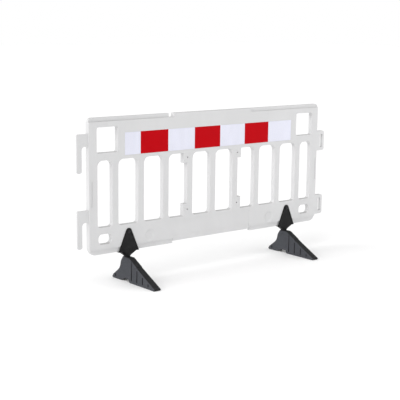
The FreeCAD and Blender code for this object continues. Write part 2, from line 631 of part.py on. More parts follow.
def foot_saddle(doc, side):
    """Saddle of one foot: cheeks, bridge, flare and neck, with its bolt seats."""
    name = f"{side}_foot_saddle"
    body = new_body(doc, name)
    bridge_base = "(Sizes.panel_base - Sizes.bridge_thickness)"
    pad(body, cheek_outline(body, f"{name}_cheek"), f"2*{CHEEK_FACE}", middle=True)
    pocket(body, rectangle(
        body, f"{name}_throat", "YZ_Plane", (f"-{DEPTH}", "Sizes.panel_base"),
        (DEPTH, f"{SADDLE_TOP} + Sizes.saddle_apex_radius")), "2*Sizes.saddle_width", middle=True)
    top = rectangle(body, f"{name}_flare_top", "XY_Plane",
                    ("-Sizes.flare_width/2", f"-{CHEEK_FACE}"),
                    ("Sizes.flare_width/2", CHEEK_FACE), bridge_base)
    neck = circles(body, f"{name}_flare_neck", "XY_Plane", [("0", "0")], "Sizes.neck_radius",
                   FLARE_BASE)
    flare = body.newObject("PartDesign::AdditiveLoft", f"{name}_flare")
    flare.Profile = top
    flare.Sections = [neck]
    flare.Ruled = True
    pad(body, circles(body, f"{name}_neck", "XY_Plane", [("0", "0")], "Sizes.neck_radius",
                      NECK_BASE), "Sizes.neck_height")
    body.Document.recompute()
    face, low, high = (value(body, text) for text in (CHEEK_FACE, bridge_base, SADDLE_TOP))
    round_edges(body, f"{name}_edges", "Sizes.cheek_edge_radius", lambda edge: all(
        abs(abs(vertex.Point.y) - face) < TINY and vertex.Point.z > low - TINY
        for vertex in edge.Vertexes) and edge.BoundBox.ZMax > (low + high)/2)
    border = cheek_outline(body, f"{name}_border", "Sizes.cheek_border", CHEEK_FACE)
    mirrored(body, f"{name}_borders", "XZ_Plane", [pocket(body, border, "Sizes.cheek_recess")])
    bolt_hole = "Sizes.saddle_bolt_radius + Sizes.bolt_clearance"
    pads = [pad(body, circles(body, f"{name}_seat", "XZ_Plane", [("0", SADDLE_BOLT_Z)],
                              "Sizes.saddle_washer_radius + Sizes.bolt_clearance",
                              f"{CHEEK_FACE} - Sizes.cheek_recess"), "Sizes.cheek_recess")]
    mirrored(body, f"{name}_seats", "XZ_Plane", pads)
    pocket(body, circles(body, f"{name}_bolt_hole", "XZ_Plane", [("0", SADDLE_BOLT_Z)],
                         bolt_hole), f"4*{CHEEK_FACE}", middle=True)
    pocket(body, circles(body, f"{name}_head_seat", "XY_Plane", [("0", "0")],
                         "Sizes.swivel_head_radius + Sizes.bolt_clearance", HEAD_SEAT),
           "Sizes.saddle_height", reverse=True)
    square = f"({SQUARE_HALF} + Sizes.bolt_clearance)"
    pocket(body, rectangle(body, f"{name}_square", "XY_Plane", (f"-{square}", f"-{square}"),
                           (square, square), f"{HEAD_SEAT} - Sizes.swivel_square_height"),
           "Sizes.saddle_height", reverse=True)
    pocket(body, circles(body, f"{name}_swivel_hole", "XY_Plane", [("0", "0")],
                         "Sizes.swivel_bolt_radius + Sizes.bolt_clearance"),
           "Sizes.panel_base", reverse=True)
    return finish(body, name, foot_x(side))


def foot_base(doc, side):
    """Base of one foot: long arm to the front, short arm to the back, arch under the middle."""
    name = f"{side}_foot_base"
    body = new_body(doc, name)
    corners = [
        ("Sizes.foot_back - Sizes.foot_edge", "0"),
        ("Sizes.foot_back", "Sizes.foot_edge"),
        ("Sizes.foot_back - Sizes.foot_edge", "Sizes.heel_height"),
        ("Sizes.waist_back", "Sizes.waist_height"),
        ("Sizes.flank_back", f"{FOOT_HEIGHT} - Sizes.flank_drop"),
        ("Sizes.shoulder_back", FOOT_HEIGHT),
        ("-Sizes.shoulder_front", FOOT_HEIGHT),
        ("-Sizes.step_front", STEP_HEIGHT),
        ("-Sizes.step_front", f"{STEP_HEIGHT} - Sizes.step_ledge"),
        ("-Sizes.foot_front + Sizes.foot_edge/2", "Sizes.toe_height"),
        ("-Sizes.foot_front", "Sizes.foot_edge"),
        ("-Sizes.foot_front + Sizes.foot_edge", "0"),
        ("-Sizes.arch_front", "0"),
        ("-Sizes.arch_flat_front", "Sizes.arch_front_height"),
        ("-Sizes.arch_flat_back", "Sizes.arch_height"),
        ("Sizes.arch_back", "0"),
    ]
    pad(body, outline(body, f"{name}_side", "YZ_Plane", corners), "Sizes.foot_width", middle=True)
    waist = [(value(body, "Sizes.waist_back"), value(body, "Sizes.waist_height"))]
    round_edges(body, f"{name}_waist", "Sizes.waist_radius",
                lambda edge: cross_edge(edge, 0, waist))
    half, narrow = "Sizes.foot_width/2", "Sizes.foot_top_width/2"
    draft = outline(body, f"{name}_draft", "XZ_Plane", [
        (half, "0"), (f"2*{half}", "0"), (f"2*{half}", f"2*{FOOT_HEIGHT}"),
        (f"2*{narrow} - {half}", f"2*{FOOT_HEIGHT}")])
    side_cut = pocket(body, draft, "3*Sizes.foot_front", middle=True)
    mirrored(body, f"{name}_drafts", "YZ_Plane", [side_cut])
    body.Document.recompute()
    width = value(body, "Sizes.foot_width")
    round_edges(body, f"{name}_edges", "Sizes.foot_edge_radius", lambda edge: (
        edge.BoundBox.ZMin > TINY and edge.BoundBox.YLength > TINY
        and edge.BoundBox.XLength < width/3))
    slope = (f"(({STEP_HEIGHT} - Sizes.step_ledge - Sizes.toe_height)"
             "/(Sizes.foot_front - Sizes.step_front))")
    stripes = [(f"-({centre})", f"Sizes.toe_height + (Sizes.foot_front - {centre})*{slope}"
                " - Sizes.groove_head_gap") for centre in (
                    f"(Sizes.groove_first + Sizes.groove_pitch*{index})"
                    for index in range(1, GROOVES))]
    stripes += [("-Sizes.groove_first", FOOT_HEIGHT),
                ("Sizes.heel_groove_back", "Sizes.heel_groove_height")]
    grooves = [pocket(body, rectangle(
        body, f"{name}_groove{index}", "YZ_Plane",
        (f"{centre} - Sizes.groove_width/2", "Sizes.groove_base"),
        (f"{centre} + Sizes.groove_width/2", head), "Sizes.groove_floor"),
        "Sizes.foot_width", reverse=True) for index, (centre, head) in enumerate(stripes)]
    mirrored(body, f"{name}_grooves", "YZ_Plane", grooves)
    pocket(body, circles(body, f"{name}_nut_pocket", "XY_Plane", [("0", "0")],
                         "Sizes.swivel_washer_radius + Sizes.nut_pocket_clearance"),
           NUT_POCKET_HEIGHT, reverse=True)
    pocket(body, circles(body, f"{name}_bore", "XY_Plane", [("0", "0")], BUSH_RADIUS),
           f"2*{FOOT_HEIGHT}", reverse=True)
    return finish(body, name, foot_x(side))


def swivel_bush(doc, side):
    """Sleeve pressed into a foot base, which turns on the swivel bolt."""
    name = f"{side}_swivel_bush"
    outer = cylinder(doc, f"{name}_outer", BUSH_RADIUS, "Sizes.bush_length")
    inner = cylinder(doc, f"{name}_inner", "Sizes.swivel_bolt_radius + Sizes.bush_clearance",
                     FOOT_HEIGHT)
    put(outer, up=NUT_POCKET_HEIGHT)
    return finish(cut(doc, name, outer, inner), name, foot_x(side))


# Fasteners ----------------------------------------------------------------------------------

def bolt(doc, name, shank_radius, shank_length, head_radius, head_height):
    """Round-headed bolt along Z, the head's seat at zero and the shank below it."""
    body = new_body(doc, name)
    profile = outline(body, f"{name}_profile", "XZ_Plane", [
        ("0", f"-{shank_length}"), (shank_radius, f"-{shank_length}"), (shank_radius, "0"),
        (head_radius, "0"), (head_radius, head_height), ("0", head_height)])
    turn = body.newObject("PartDesign::Revolution", f"{name}_turn")
    turn.Profile = profile
    turn.ReferenceAxis = (profile, ["V_Axis"])
    turn.Angle = 360
    height, reach = value(body, head_height), value(body, head_radius)
    round_edges(body, f"{name}_dome", f"{head_height}*{DOME_SHARE}", lambda edge: (
        abs(edge.BoundBox.ZMin - height) < TINY and edge.BoundBox.XLength > reach))
    return body


def washer(doc, name, outer, inner, thickness):
    """Flat washer, its lower face at zero."""
    disc = cylinder(doc, f"{name}_disc", outer, thickness)
    hole = put(cylinder(doc, f"{name}_hole", inner, f"3*{thickness}"), up=f"-{thickness}")
    return cut(doc, name, disc, hole)


def lock_nut(doc, name, width, height, bore):
    """Hexagonal nut with a round locking collar on top, its lower face at zero."""
    flats = hexagon(doc, f"{name}_flats", width, f"{height}*{NUT_FLATS_SHARE}")
    collar = cylinder(doc, f"{name}_collar", f"{width}*{NUT_COLLAR_SHARE}", height)
    hole = put(cylinder(doc, f"{name}_hole", bore, f"3*{height}"), up=f"-{height}")
    return cut(doc, name, fuse(doc, f"{name}_blank", [flats, collar]), hole)


def turned(feature, degrees):
    """Turn an object about X, so that its own Z points along -Y at 90 degrees."""
    feature.Placement.Rotation = FreeCAD.Rotation(FreeCAD.Vector(1, 0, 0), degrees)
    return feature


def saddle_fasteners(doc):
    """Bolt, two washers and lock nut of each saddle, through the cheeks and the panel."""
    bolts, washers, nuts = [], [], []
    shank, width = "Sizes.saddle_bolt_radius", "Sizes.saddle_nut_width"
    thick, height = "Sizes.saddle_washer_thickness", "Sizes.saddle_nut_height"
    front = f"({CHEEK_FACE} + {thick})"
    length = f"(2*{front} + {height} + Sizes.bolt_tail)"
    for side in SIDES:
        across = foot_x(side)
        body = bolt(doc, f"{side}_saddle_bolt", shank, length,
                    "Sizes.saddle_head_radius", "Sizes.saddle_head_height")
        bolts.append(put(turned(body, 90), across, f"-{front}", SADDLE_BOLT_Z))
        for face, turn in (("front", 90), ("back", -90)):
            ring = washer(doc, f"{side}_{face}_washer", "Sizes.saddle_washer_radius",
                          f"{shank} + Sizes.bolt_clearance", thick)
            along = f"{'-' if face == 'front' else ''}{CHEEK_FACE}"
            washers.append(put(turned(ring, turn), across, along, SADDLE_BOLT_Z))
        nut = lock_nut(doc, f"{side}_saddle_nut", width, height, f"{shank} + Sizes.thread_gap")
        nuts.append(put(turned(nut, -90), across, front, SADDLE_BOLT_Z))
    finish(group(doc, "saddle_bolts", bolts), "saddle_bolts")
    finish(group(doc, "saddle_washers", washers), "saddle_washers")
    finish(group(doc, "saddle_nuts", nuts), "saddle_nuts")


def swivel_fasteners(doc):
    """Carriage bolt, washer and lock nut of each foot, up the middle of its base."""
    bolts, washers, nuts = [], [], []
    shank, thick = "Sizes.swivel_bolt_radius", "Sizes.swivel_washer_thickness"
    height = "Sizes.swivel_nut_height"
    washer_z = f"({NUT_POCKET_HEIGHT} - Sizes.swivel_gap - {thick})"
    nut_z = f"({washer_z} - {height})"
    length = f"({HEAD_SEAT} - {nut_z} + Sizes.bolt_tail)"
    for side in SIDES:
        across = foot_x(side)
        body = bolt(doc, f"{side}_swivel_round", shank, length,
                    "Sizes.swivel_head_radius", "Sizes.swivel_head_height")
        neck = doc.addObject("Part::Box", f"{side}_swivel_square")
        for size in ("Length", "Width"):
            neck.setExpression(size, f"2*{SQUARE_HALF}")
        neck.setExpression("Height", "Sizes.swivel_square_height")
        put(neck, f"-{SQUARE_HALF}", f"-{SQUARE_HALF}", "-Sizes.swivel_square_height")
        whole = fuse(doc, f"{side}_swivel_bolt", [body, neck])
        bolts.append(put(whole, across, up=HEAD_SEAT))
        ring = washer(doc, f"{side}_swivel_washer", "Sizes.swivel_washer_radius",
                      f"{shank} + Sizes.bolt_clearance", thick)
        washers.append(put(ring, across, up=washer_z))
        nut = lock_nut(doc, f"{side}_swivel_nut", "Sizes.swivel_nut_width", height,
                       f"{shank} + Sizes.thread_gap")
        nuts.append(put(turned(nut, 180), across, up=washer_z))
    finish(group(doc, "swivel_bolts", bolts), "swivel_bolts")
    finish(group(doc, "swivel_washers", washers), "swivel_washers")
    finish(group(doc, "swivel_nuts", nuts), "swivel_nuts")


# Document -----------------------------------------------------------------------------------

def sub_parts(doc):
    """The finished pieces: those whose own label is a node's name and that nothing else uses."""
    nodes = ["barrier_panel", "saddle_bolts", "saddle_washers", "saddle_nuts", "swivel_bolts",
             "swivel_washers", "swivel_nuts"]
    nodes += [f"{side}_{piece}" for side in SIDES
              for piece in ("foot_saddle", "foot_base", "swivel_bush")]
    nodes += [feature.Label for feature in doc.Objects if feature.Label.startswith("film_")]
    return [doc.getObjectsByLabel(node)[0] for node in nodes]


def check(doc, pieces):
    """Stop if any object failed to build or any piece's shape is missing or faulty."""
    failed = [feature.Label for feature in doc.Objects
              if "Invalid" in feature.State or "Error" in feature.State]
    faulty = [piece.Label for piece in pieces
              if piece.Shape.isNull() or not piece.Shape.isValid() or not piece.Shape.Solids]
    if failed or faulty:
        raise RuntimeError(f"failed: {failed}, faulty: {faulty}")


def main():
    """Build the document and write one STEP file a piece."""
    doc = FreeCAD.newDocument("barrier")
    size_sheet(doc)
    barrier_panel(doc)
    film_blocks(doc)
    for side in SIDES:
        foot_saddle(doc, side)
        foot_base(doc, side)
        swivel_bush(doc, side)
    saddle_fasteners(doc)
    swivel_fasteners(doc)
    doc.recompute()
    pieces = sub_parts(doc)
    check(doc, pieces)
    os.makedirs("parts", exist_ok=True)
    for piece in pieces:
        piece.Shape.exportStep(os.path.join("parts", f"{piece.Label}.step"))
        print(piece.Label, len(piece.Shape.Solids), round(piece.Shape.Volume))


if __name__ == "__main__":
    main()
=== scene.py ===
"""Moulded pedestrian barrier with swivelling anti-trip feet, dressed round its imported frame.

Lengths are in metres. X runs along the barrier, -Y is its front, Z is up from the ground.
"""

import json
import logging
import math
from dataclasses import dataclass
from enum import Enum
from typing import Any, Mapping, NamedTuple, Sequence

import bpy
import numpy as np
from mathutils import Matrix, Vector


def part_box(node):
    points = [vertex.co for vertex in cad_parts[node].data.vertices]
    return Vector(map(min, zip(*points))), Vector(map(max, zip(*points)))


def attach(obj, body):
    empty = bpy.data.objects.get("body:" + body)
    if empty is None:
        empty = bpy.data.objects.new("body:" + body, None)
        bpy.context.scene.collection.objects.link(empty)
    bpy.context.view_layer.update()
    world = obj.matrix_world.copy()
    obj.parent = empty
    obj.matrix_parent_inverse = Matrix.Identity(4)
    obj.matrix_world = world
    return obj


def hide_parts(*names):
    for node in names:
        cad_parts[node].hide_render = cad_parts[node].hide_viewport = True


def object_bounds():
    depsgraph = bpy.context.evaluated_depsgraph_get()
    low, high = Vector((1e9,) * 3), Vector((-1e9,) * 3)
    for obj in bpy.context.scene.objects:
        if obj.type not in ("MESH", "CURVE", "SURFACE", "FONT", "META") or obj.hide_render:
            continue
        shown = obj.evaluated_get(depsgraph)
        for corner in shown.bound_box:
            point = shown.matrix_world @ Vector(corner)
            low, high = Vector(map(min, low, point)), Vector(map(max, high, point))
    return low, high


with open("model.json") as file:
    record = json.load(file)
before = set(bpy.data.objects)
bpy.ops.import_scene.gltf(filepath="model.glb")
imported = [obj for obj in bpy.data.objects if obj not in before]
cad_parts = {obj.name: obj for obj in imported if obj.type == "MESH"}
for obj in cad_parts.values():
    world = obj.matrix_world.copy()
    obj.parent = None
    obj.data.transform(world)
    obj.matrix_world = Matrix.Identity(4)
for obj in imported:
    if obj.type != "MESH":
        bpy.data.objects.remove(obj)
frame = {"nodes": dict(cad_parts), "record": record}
CAD_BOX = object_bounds()
LOG = logging.getLogger("barrier")
Colour = tuple[float, float, float]
Step = tuple[float, float]
Outline = tuple[Sequence, Sequence[float], float]  # corners, their radii, side of the bead
INSIDE, OUTSIDE = 1.0, -1.0
SHARPEST_RADIUS = 0.00002
NOISE_MEAN = 0.5
SIDES = ("left", "right")
FEET = {side: sum(p.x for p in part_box(f"{side}_foot_base")) / 2 for side in SIDES}
MIDDLE = np.array([sum(FEET.values()) / 2, sum(p.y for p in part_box("barrier_panel")) / 2, 0.0])


# Shader building ----------------------------------------------------------------------------

class Field:
    """A number that varies over a surface: a socket whose arithmetic adds Math nodes."""

    def __init__(self, shader: "Shader", socket: bpy.types.NodeSocket) -> None:
        """Wrap a socket.

        Args:
            shader: The material that the socket belongs to.
            socket: An output socket that gives a number.
        """
        self.shader = shader
        self.socket = socket

    def maths(self, operation: str, *values: Any) -> "Field":
        """Add one Math node.

        Args:
            operation: The node's operation.
            values: What its sockets take, in order: fields or numbers.

        Returns:
            The node's result.
        """
        node = self.shader.node("ShaderNodeMath", {"operation": operation},
                                dict(enumerate(values)))
        return Field(self.shader, node.outputs[0])

    def __add__(self, other: Any) -> "Field":
        """Sum."""
        return self.maths("ADD", self, other)

    __radd__ = __add__

    def __sub__(self, other: Any) -> "Field":
        """Difference."""
        return self.maths("SUBTRACT", self, other)

    def __rsub__(self, other: Any) -> "Field":
        """Difference, from a number."""
        return self.maths("SUBTRACT", other, self)

    def __mul__(self, other: Any) -> "Field":
        """Product."""
        return self.maths("MULTIPLY", self, other)

    __rmul__ = __mul__

    def __truediv__(self, other: Any) -> "Field":
        """Quotient."""
        return self.maths("DIVIDE", self, other)

    def __abs__(self) -> "Field":
        """Size without sign."""
        return self.maths("ABSOLUTE", self)

    def fraction(self) -> "Field":
        """The part after the decimal point."""
        return self.maths("FRACT", self)

    def smaller(self, other: Any) -> "Field":
        """The smaller of two fields."""
        return self.maths("MINIMUM", self, other)

    def larger(self, other: Any) -> "Field":
        """The larger of two fields."""
        return self.maths("MAXIMUM", self, other)

    def ramp(self, low: float, high: float) -> "Field":
        """Smooth step from 0 at low to 1 at high.

        Args:
            low: The value that gives 0.
            high: The value that gives 1; it may be under low, which turns the step round.

        Returns:
            The step, clamped to 0 and 1.
        """
        node = self.shader.node(
            "ShaderNodeMapRange", {"interpolation_type": "SMOOTHSTEP"},
            {"Value": self, "From Min": low, "From Max": high, "To Min": 0.0, "To Max": 1.0})
        return Field(self.shader, node.outputs["Result"])


@dataclass(frozen=True)
class Cloud:
    """A cloudy pattern: noise between 0 and 1, or a smooth step of it from one level to another.

    Size is the width of its blotches in metres, detail the octaves of finer noise and roughness
    their strength. Stretch lengthens the blotches along X, Y and Z, and swirl twists them.
    """

    size: float
    detail: float = 2.0
    roughness: float = 0.5
    stretch: Sequence[float] = (1.0, 1.0, 1.0)
    swirl: float = 0.0
    step: Step | None = None


class Shader:
    """A material's node tree, built from Python expressions."""

    def __init__(self, name: str) -> None:
        """Start a material with one Principled shader.

        Args:
            name: The material's name.
        """
        self.material = bpy.data.materials.new(name)
        self.material.use_nodes = True
        self.tree = self.material.node_tree
        self.principled = next(n for n in self.tree.nodes if n.type == "BSDF_PRINCIPLED")

    def node(self, kind: str, settings: Mapping[str, Any] | None = None,
             sockets: Mapping[Any, Any] | None = None) -> bpy.types.Node:
        """Add a node of any type.

        Args:
            kind: The node's type name.
            settings: Its properties, set first.
            sockets: Values or links of its input sockets, by name or index.

        Returns:
            The node.
        """
        made = self.tree.nodes.new(kind)
        for key, setting in (settings or {}).items():
            setattr(made, key, setting)
        self.feed(made, sockets or {})
        return made

    def feed(self, target: bpy.types.Node, sockets: Mapping[Any, Any]) -> None:
        """Set or link a node's input sockets.

        Args:
            target: The node.
            sockets: Fields, sockets, numbers or colours, by socket name or index.
        """
        for key, given in sockets.items():
            socket = target.inputs[key]
            if isinstance(given, Field):
                given = given.socket
            if isinstance(given, bpy.types.NodeSocket):
                self.tree.links.new(given, socket)
            elif isinstance(given, (tuple, list)):
                full = (*given, 1.0) if len(socket.default_value) == len(given) + 1 else given
                socket.default_value = full
            else:
                socket.default_value = given

    def place(self) -> bpy.types.NodeSocket:
        """The Object coordinates, which are the frame's own metres."""
        return self.node("ShaderNodeTexCoord").outputs["Object"]

    def component(self, vector: bpy.types.NodeSocket, name: str) -> Field:
        """The X, Y or Z of a vector."""
        parts = self.node("ShaderNodeSeparateXYZ", sockets={0: vector})
        return Field(self, parts.outputs[name])

    def axis(self, name: str) -> Field:
        """One of the Object coordinates, X, Y or Z, in metres."""
        return self.component(self.place(), name)

    def facing(self, name: str) -> Field:
        """One component of the surface's outward direction, which turns with its piece."""
        return self.component(self.node("ShaderNodeTexCoord").outputs["Normal"], name)

    def honeycomb(self, size: float) -> Field:
        """Six-sided cells in the X and Z plane.

        Two rectangular lattices, half a step apart, hold the cell centres. In each, the distance
        to the nearest centre is the larger of x and x/2 + z*sqrt(3)/2, and the smaller of the two
        distances is the cell's own. A lattice's step along Z is sqrt(3) cells, hence 1.5.

        Args:
            size: The width of a cell across its flats, in metres.

        Returns:
            0 at a cell's centre and 0.5 on its edge.
        """
        across = self.axis("X") / size
        up = self.axis("Z") / (size * math.sqrt(3.0))

        def lattice(shift: float) -> Field:
            """Distance to the nearest centre of one lattice."""
            x = abs((across + shift).fraction() - 0.5)
            z = abs((up + shift).fraction() - 0.5) * 1.5
            return x.larger(x * 0.5 + z)

        return lattice(0.0).smaller(lattice(0.5))

    def noise(self, cloud: Cloud) -> Field:
        """A cloudy pattern, stepped where it has a step."""
        mapping = self.node("ShaderNodeMapping", sockets={
            "Vector": self.place(), "Scale": [1.0 / s for s in cloud.stretch]})
        node = self.node("ShaderNodeTexNoise", {"noise_dimensions": "3D"},
                         {"Vector": mapping.outputs[0], "Scale": 1.0 / cloud.size,
                          "Detail": cloud.detail, "Roughness": cloud.roughness,
                          "Distortion": cloud.swirl})
        made = Field(self, node.outputs[0])
        return made.ramp(*cloud.step) if cloud.step else made

    def cells(self, size: float, feature: str = "F1") -> Field:
        """Distance pattern of scattered points.

        Args:
            size: The points' mean spacing, in metres.
            feature: The Voronoi feature.

        Returns:
            The distance, as a share of size.
        """
        node = self.node("ShaderNodeTexVoronoi", {"feature": feature},
                         {"Vector": self.place(), "Scale": 1.0 / size})
        return Field(self, node.outputs["Distance"])

    def blend(self, share: Any, first: Any, second: Any) -> bpy.types.NodeSocket:
        """Mix two colours.

        Args:
            share: 0 for the first colour, 1 for the second.
            first: A colour or a colour socket.
            second: A colour or a colour socket.

        Returns:
            The mixed colour's socket.
        """
        made = self.node("ShaderNodeMix", {"data_type": "RGBA", "clamp_factor": True},
                         {0: share, 6: first, 7: second})
        return made.outputs[2]

    def relief(self, height: Field, depth: float, strength: float) -> bpy.types.NodeSocket:
        """Bump from a height field.

        Args:
            height: The height, from 0 to 1.
            depth: The height that 1 stands for, in metres.
            strength: How much of it shows.

        Returns:
            The bent normal's socket.
        """
        made = self.node("ShaderNodeBump", sockets={"Height": height, "Distance": depth,
                                                    "Strength": strength})
        return made.outputs[0]

    def set(self, **sockets: Any) -> None:
        """Set the Principled shader's sockets; an underscore in a name stands for a space."""
        self.feed(self.principled, {k.replace("_", " "): v for k, v in sockets.items()})


# Finishes -----------------------------------------------------------------------------------

@dataclass(frozen=True)
class MouldedWhite:
    """Matt white polyethylene as it leaves a blow mould, with dirt and scuffs, and painted shade
    that darkens every upward-facing face.
    """

    colour: Colour = (0.685, 0.685, 0.69)
    dark_share: float = 0.955
    light_share: float = 1.03
    # Colour of the dirt, and also of the painted shade on upward-facing faces.
    dust: Colour = (0.37, 0.365, 0.355)
    swirl: Cloud = Cloud(0.30, 4.0, 0.55, (1.0, 1.0, 2.2), 1.2)
    swirl_step: Step = (0.25, 0.75)
    swirl_share: float = 0.7
    streak: Cloud = Cloud(0.004, 3.0, 0.6, (1.0, 1.0, 40.0), 0.2)
    streak_share: float = 0.3
    streak_depth: float = 0.00010
    grain: Cloud = Cloud(0.0016, 3.0, 0.6)
    grain_depth: float = 0.00012
    ripple: Cloud = Cloud(0.11, 1.0, 0.4, (1.0, 1.0, 1.6))
    ripple_depth: float = 0.0022
    relief: float = 0.6
    film: Cloud = Cloud(0.16, 5.0, 0.62, step=(0.45, 0.80))
    film_share: float = 0.03
    low_film_share: float = 0.11
    specks: Cloud = Cloud(0.009, 5.0, 0.72, step=(0.62, 0.80))
    specks_share: float = 0.14
    splash_heights: Step = (0.34, 0.19)
    scuffs: Cloud = Cloud(0.0022, 2.0, 0.5, (22.0, 1.0, 1.0), 0.5, (0.66, 0.74))
    scuffs_share: float = 0.30
    rubbed: Cloud = Cloud(0.09, 3.0, 0.6, step=(0.52, 0.66))
    # Painted shade on upward-facing faces: the tilts where it starts and is full, its share, and
    # how much the dirt film adds to it.
    ledge_shade_tilts: Step = (0.55, 0.95)
    ledge_shade_share: float = 0.95
    ledge_shade_film_share: float = 0.35
    soil_and_shade_share: float = 0.6
    roughness: float = 0.46
    swirl_roughness: float = 0.16
    soil_and_shade_roughness: float = 0.3
    refraction: float = 1.5

    def material(self) -> bpy.types.Material:
        """Build the material."""
        shader = Shader("white_hdpe")
        swirl, streak = shader.noise(self.swirl), shader.noise(self.streak)
        film, specks = shader.noise(self.film), shader.noise(self.specks)
        low = shader.axis("Z").ramp(*self.splash_heights)
        # Painted shade: faces that point up are darkened almost fully towards the dust colour,
        # standing in for less light from above; it joins the real dirt below.
        painted_ledge_shade = shader.facing("Z").ramp(*self.ledge_shade_tilts)
        soil_and_shade = (film * (self.film_share + low * self.low_film_share)
                + specks * low * self.specks_share
                + shader.noise(self.scuffs) * shader.noise(self.rubbed) * self.scuffs_share
                + painted_ledge_shade * (self.ledge_shade_share + film * self.ledge_shade_film_share)) * self.soil_and_shade_share
        tone = shader.blend(
            swirl.ramp(*self.swirl_step) * self.swirl_share + streak * self.streak_share,
            [c * self.dark_share for c in self.colour], [c * self.light_share for c in self.colour])
        height = (shader.noise(self.grain) * (self.grain_depth / self.ripple_depth)
                  + streak * (self.streak_depth / self.ripple_depth) + shader.noise(self.ripple))
        shader.set(Base_Color=shader.blend(soil_and_shade, tone, self.dust),
                   Roughness=(self.roughness + (swirl - NOISE_MEAN) * self.swirl_roughness
                              + soil_and_shade * self.soil_and_shade_roughness),
                   Normal=shader.relief(height, self.ripple_depth, self.relief),
                   IOR=self.refraction)
        return shader.material


@dataclass(frozen=True)
class Reflective:
    """Prismatic reflective film: sealed honeycomb cells of fine prisms under a clear top."""

    name: str
    colour: Colour
    seal: Colour
    specular: float
    cell_size: float = 0.0042
    seal_edges: Step = (0.43, 0.47)
    seal_share: float = 0.75
    seal_height: float = 0.00007
    prism_size: float = 0.00035
    prism_share: float = 0.4
    prism_height_share: float = 0.25
    shade: Cloud = Cloud(0.05, 3.0, 0.5, (1.0, 1.0, 3.0), step=(0.3, 0.7))
    shade_share: float = 0.6
    deep_share: float = 0.93
    wear: Cloud = Cloud(0.006, 4.0, 0.7, (5.0, 1.0, 1.0), step=(0.60, 0.80))
    relief: float = 0.5
    roughness: float = 0.30
    prism_roughness: float = 0.10
    wear_roughness: float = 0.20
    seal_roughness: float = 0.12

    def material(self) -> bpy.types.Material:
        """Build the material."""
        shader = Shader(self.name)
        seal = shader.honeycomb(self.cell_size).ramp(*self.seal_edges)
        prisms = shader.cells(self.prism_size)
        tone = shader.blend(
            shader.noise(self.shade) * self.shade_share + prisms * self.prism_share,
            [c * self.deep_share for c in self.colour], self.colour)
        shader.set(Base_Color=shader.blend(seal * self.seal_share, tone, self.seal),
                   Roughness=(self.roughness + prisms * self.prism_roughness
                              + shader.noise(self.wear) * self.wear_roughness
                              + seal * self.seal_roughness),
                   Normal=shader.relief(seal + prisms * self.prism_height_share,
                                        self.seal_height, self.relief),
                   Specular_IOR_Level=self.specular)
        return shader.material


@dataclass(frozen=True)
class MouldedBlack:
    """Black glass-filled plastic with a fine spark-eroded grain and chalky scratches."""

    colour: Colour = (0.008, 0.008, 0.0085)
    chalk: Colour = (0.045, 0.045, 0.047)
    cloud: Cloud = Cloud(0.045, 4.0, 0.6, (1.0, 1.0, 1.8), 0.8)
    cloud_step: Step = (0.35, 0.8)
    cloud_share: float = 0.30
    scratch: Cloud = Cloud(0.0018, 2.0, 0.5, (1.0, 1.0, 26.0), 0.3, (0.64, 0.74))
    rubbed: Cloud = Cloud(0.03, 3.0, 0.6, step=(0.50, 0.72))
    scratch_share: float = 0.5
    grain: Cloud = Cloud(0.0009, 4.0, 0.65)
    grain_depth: float = 0.00006
    relief: float = 0.7
    roughness: float = 0.46
    cloud_roughness: float = 0.20
    grain_roughness: float = 0.10
    specular: float = 0.16

    def material(self) -> bpy.types.Material:
        """Build the material."""
        shader = Shader("black_plastic")
        grain, cloud = shader.noise(self.grain), shader.noise(self.cloud)
        share = (cloud.ramp(*self.cloud_step) * self.cloud_share
                 + shader.noise(self.scratch) * shader.noise(self.rubbed) * self.scratch_share)
        shader.set(Base_Color=shader.blend(share, self.colour, self.chalk),
                   Roughness=(self.roughness + (cloud - NOISE_MEAN) * self.cloud_roughness
                              + grain * self.grain_roughness),
                   Normal=shader.relief(grain, self.grain_depth, self.relief),
                   Specular_IOR_Level=self.specular)
        return shader.material


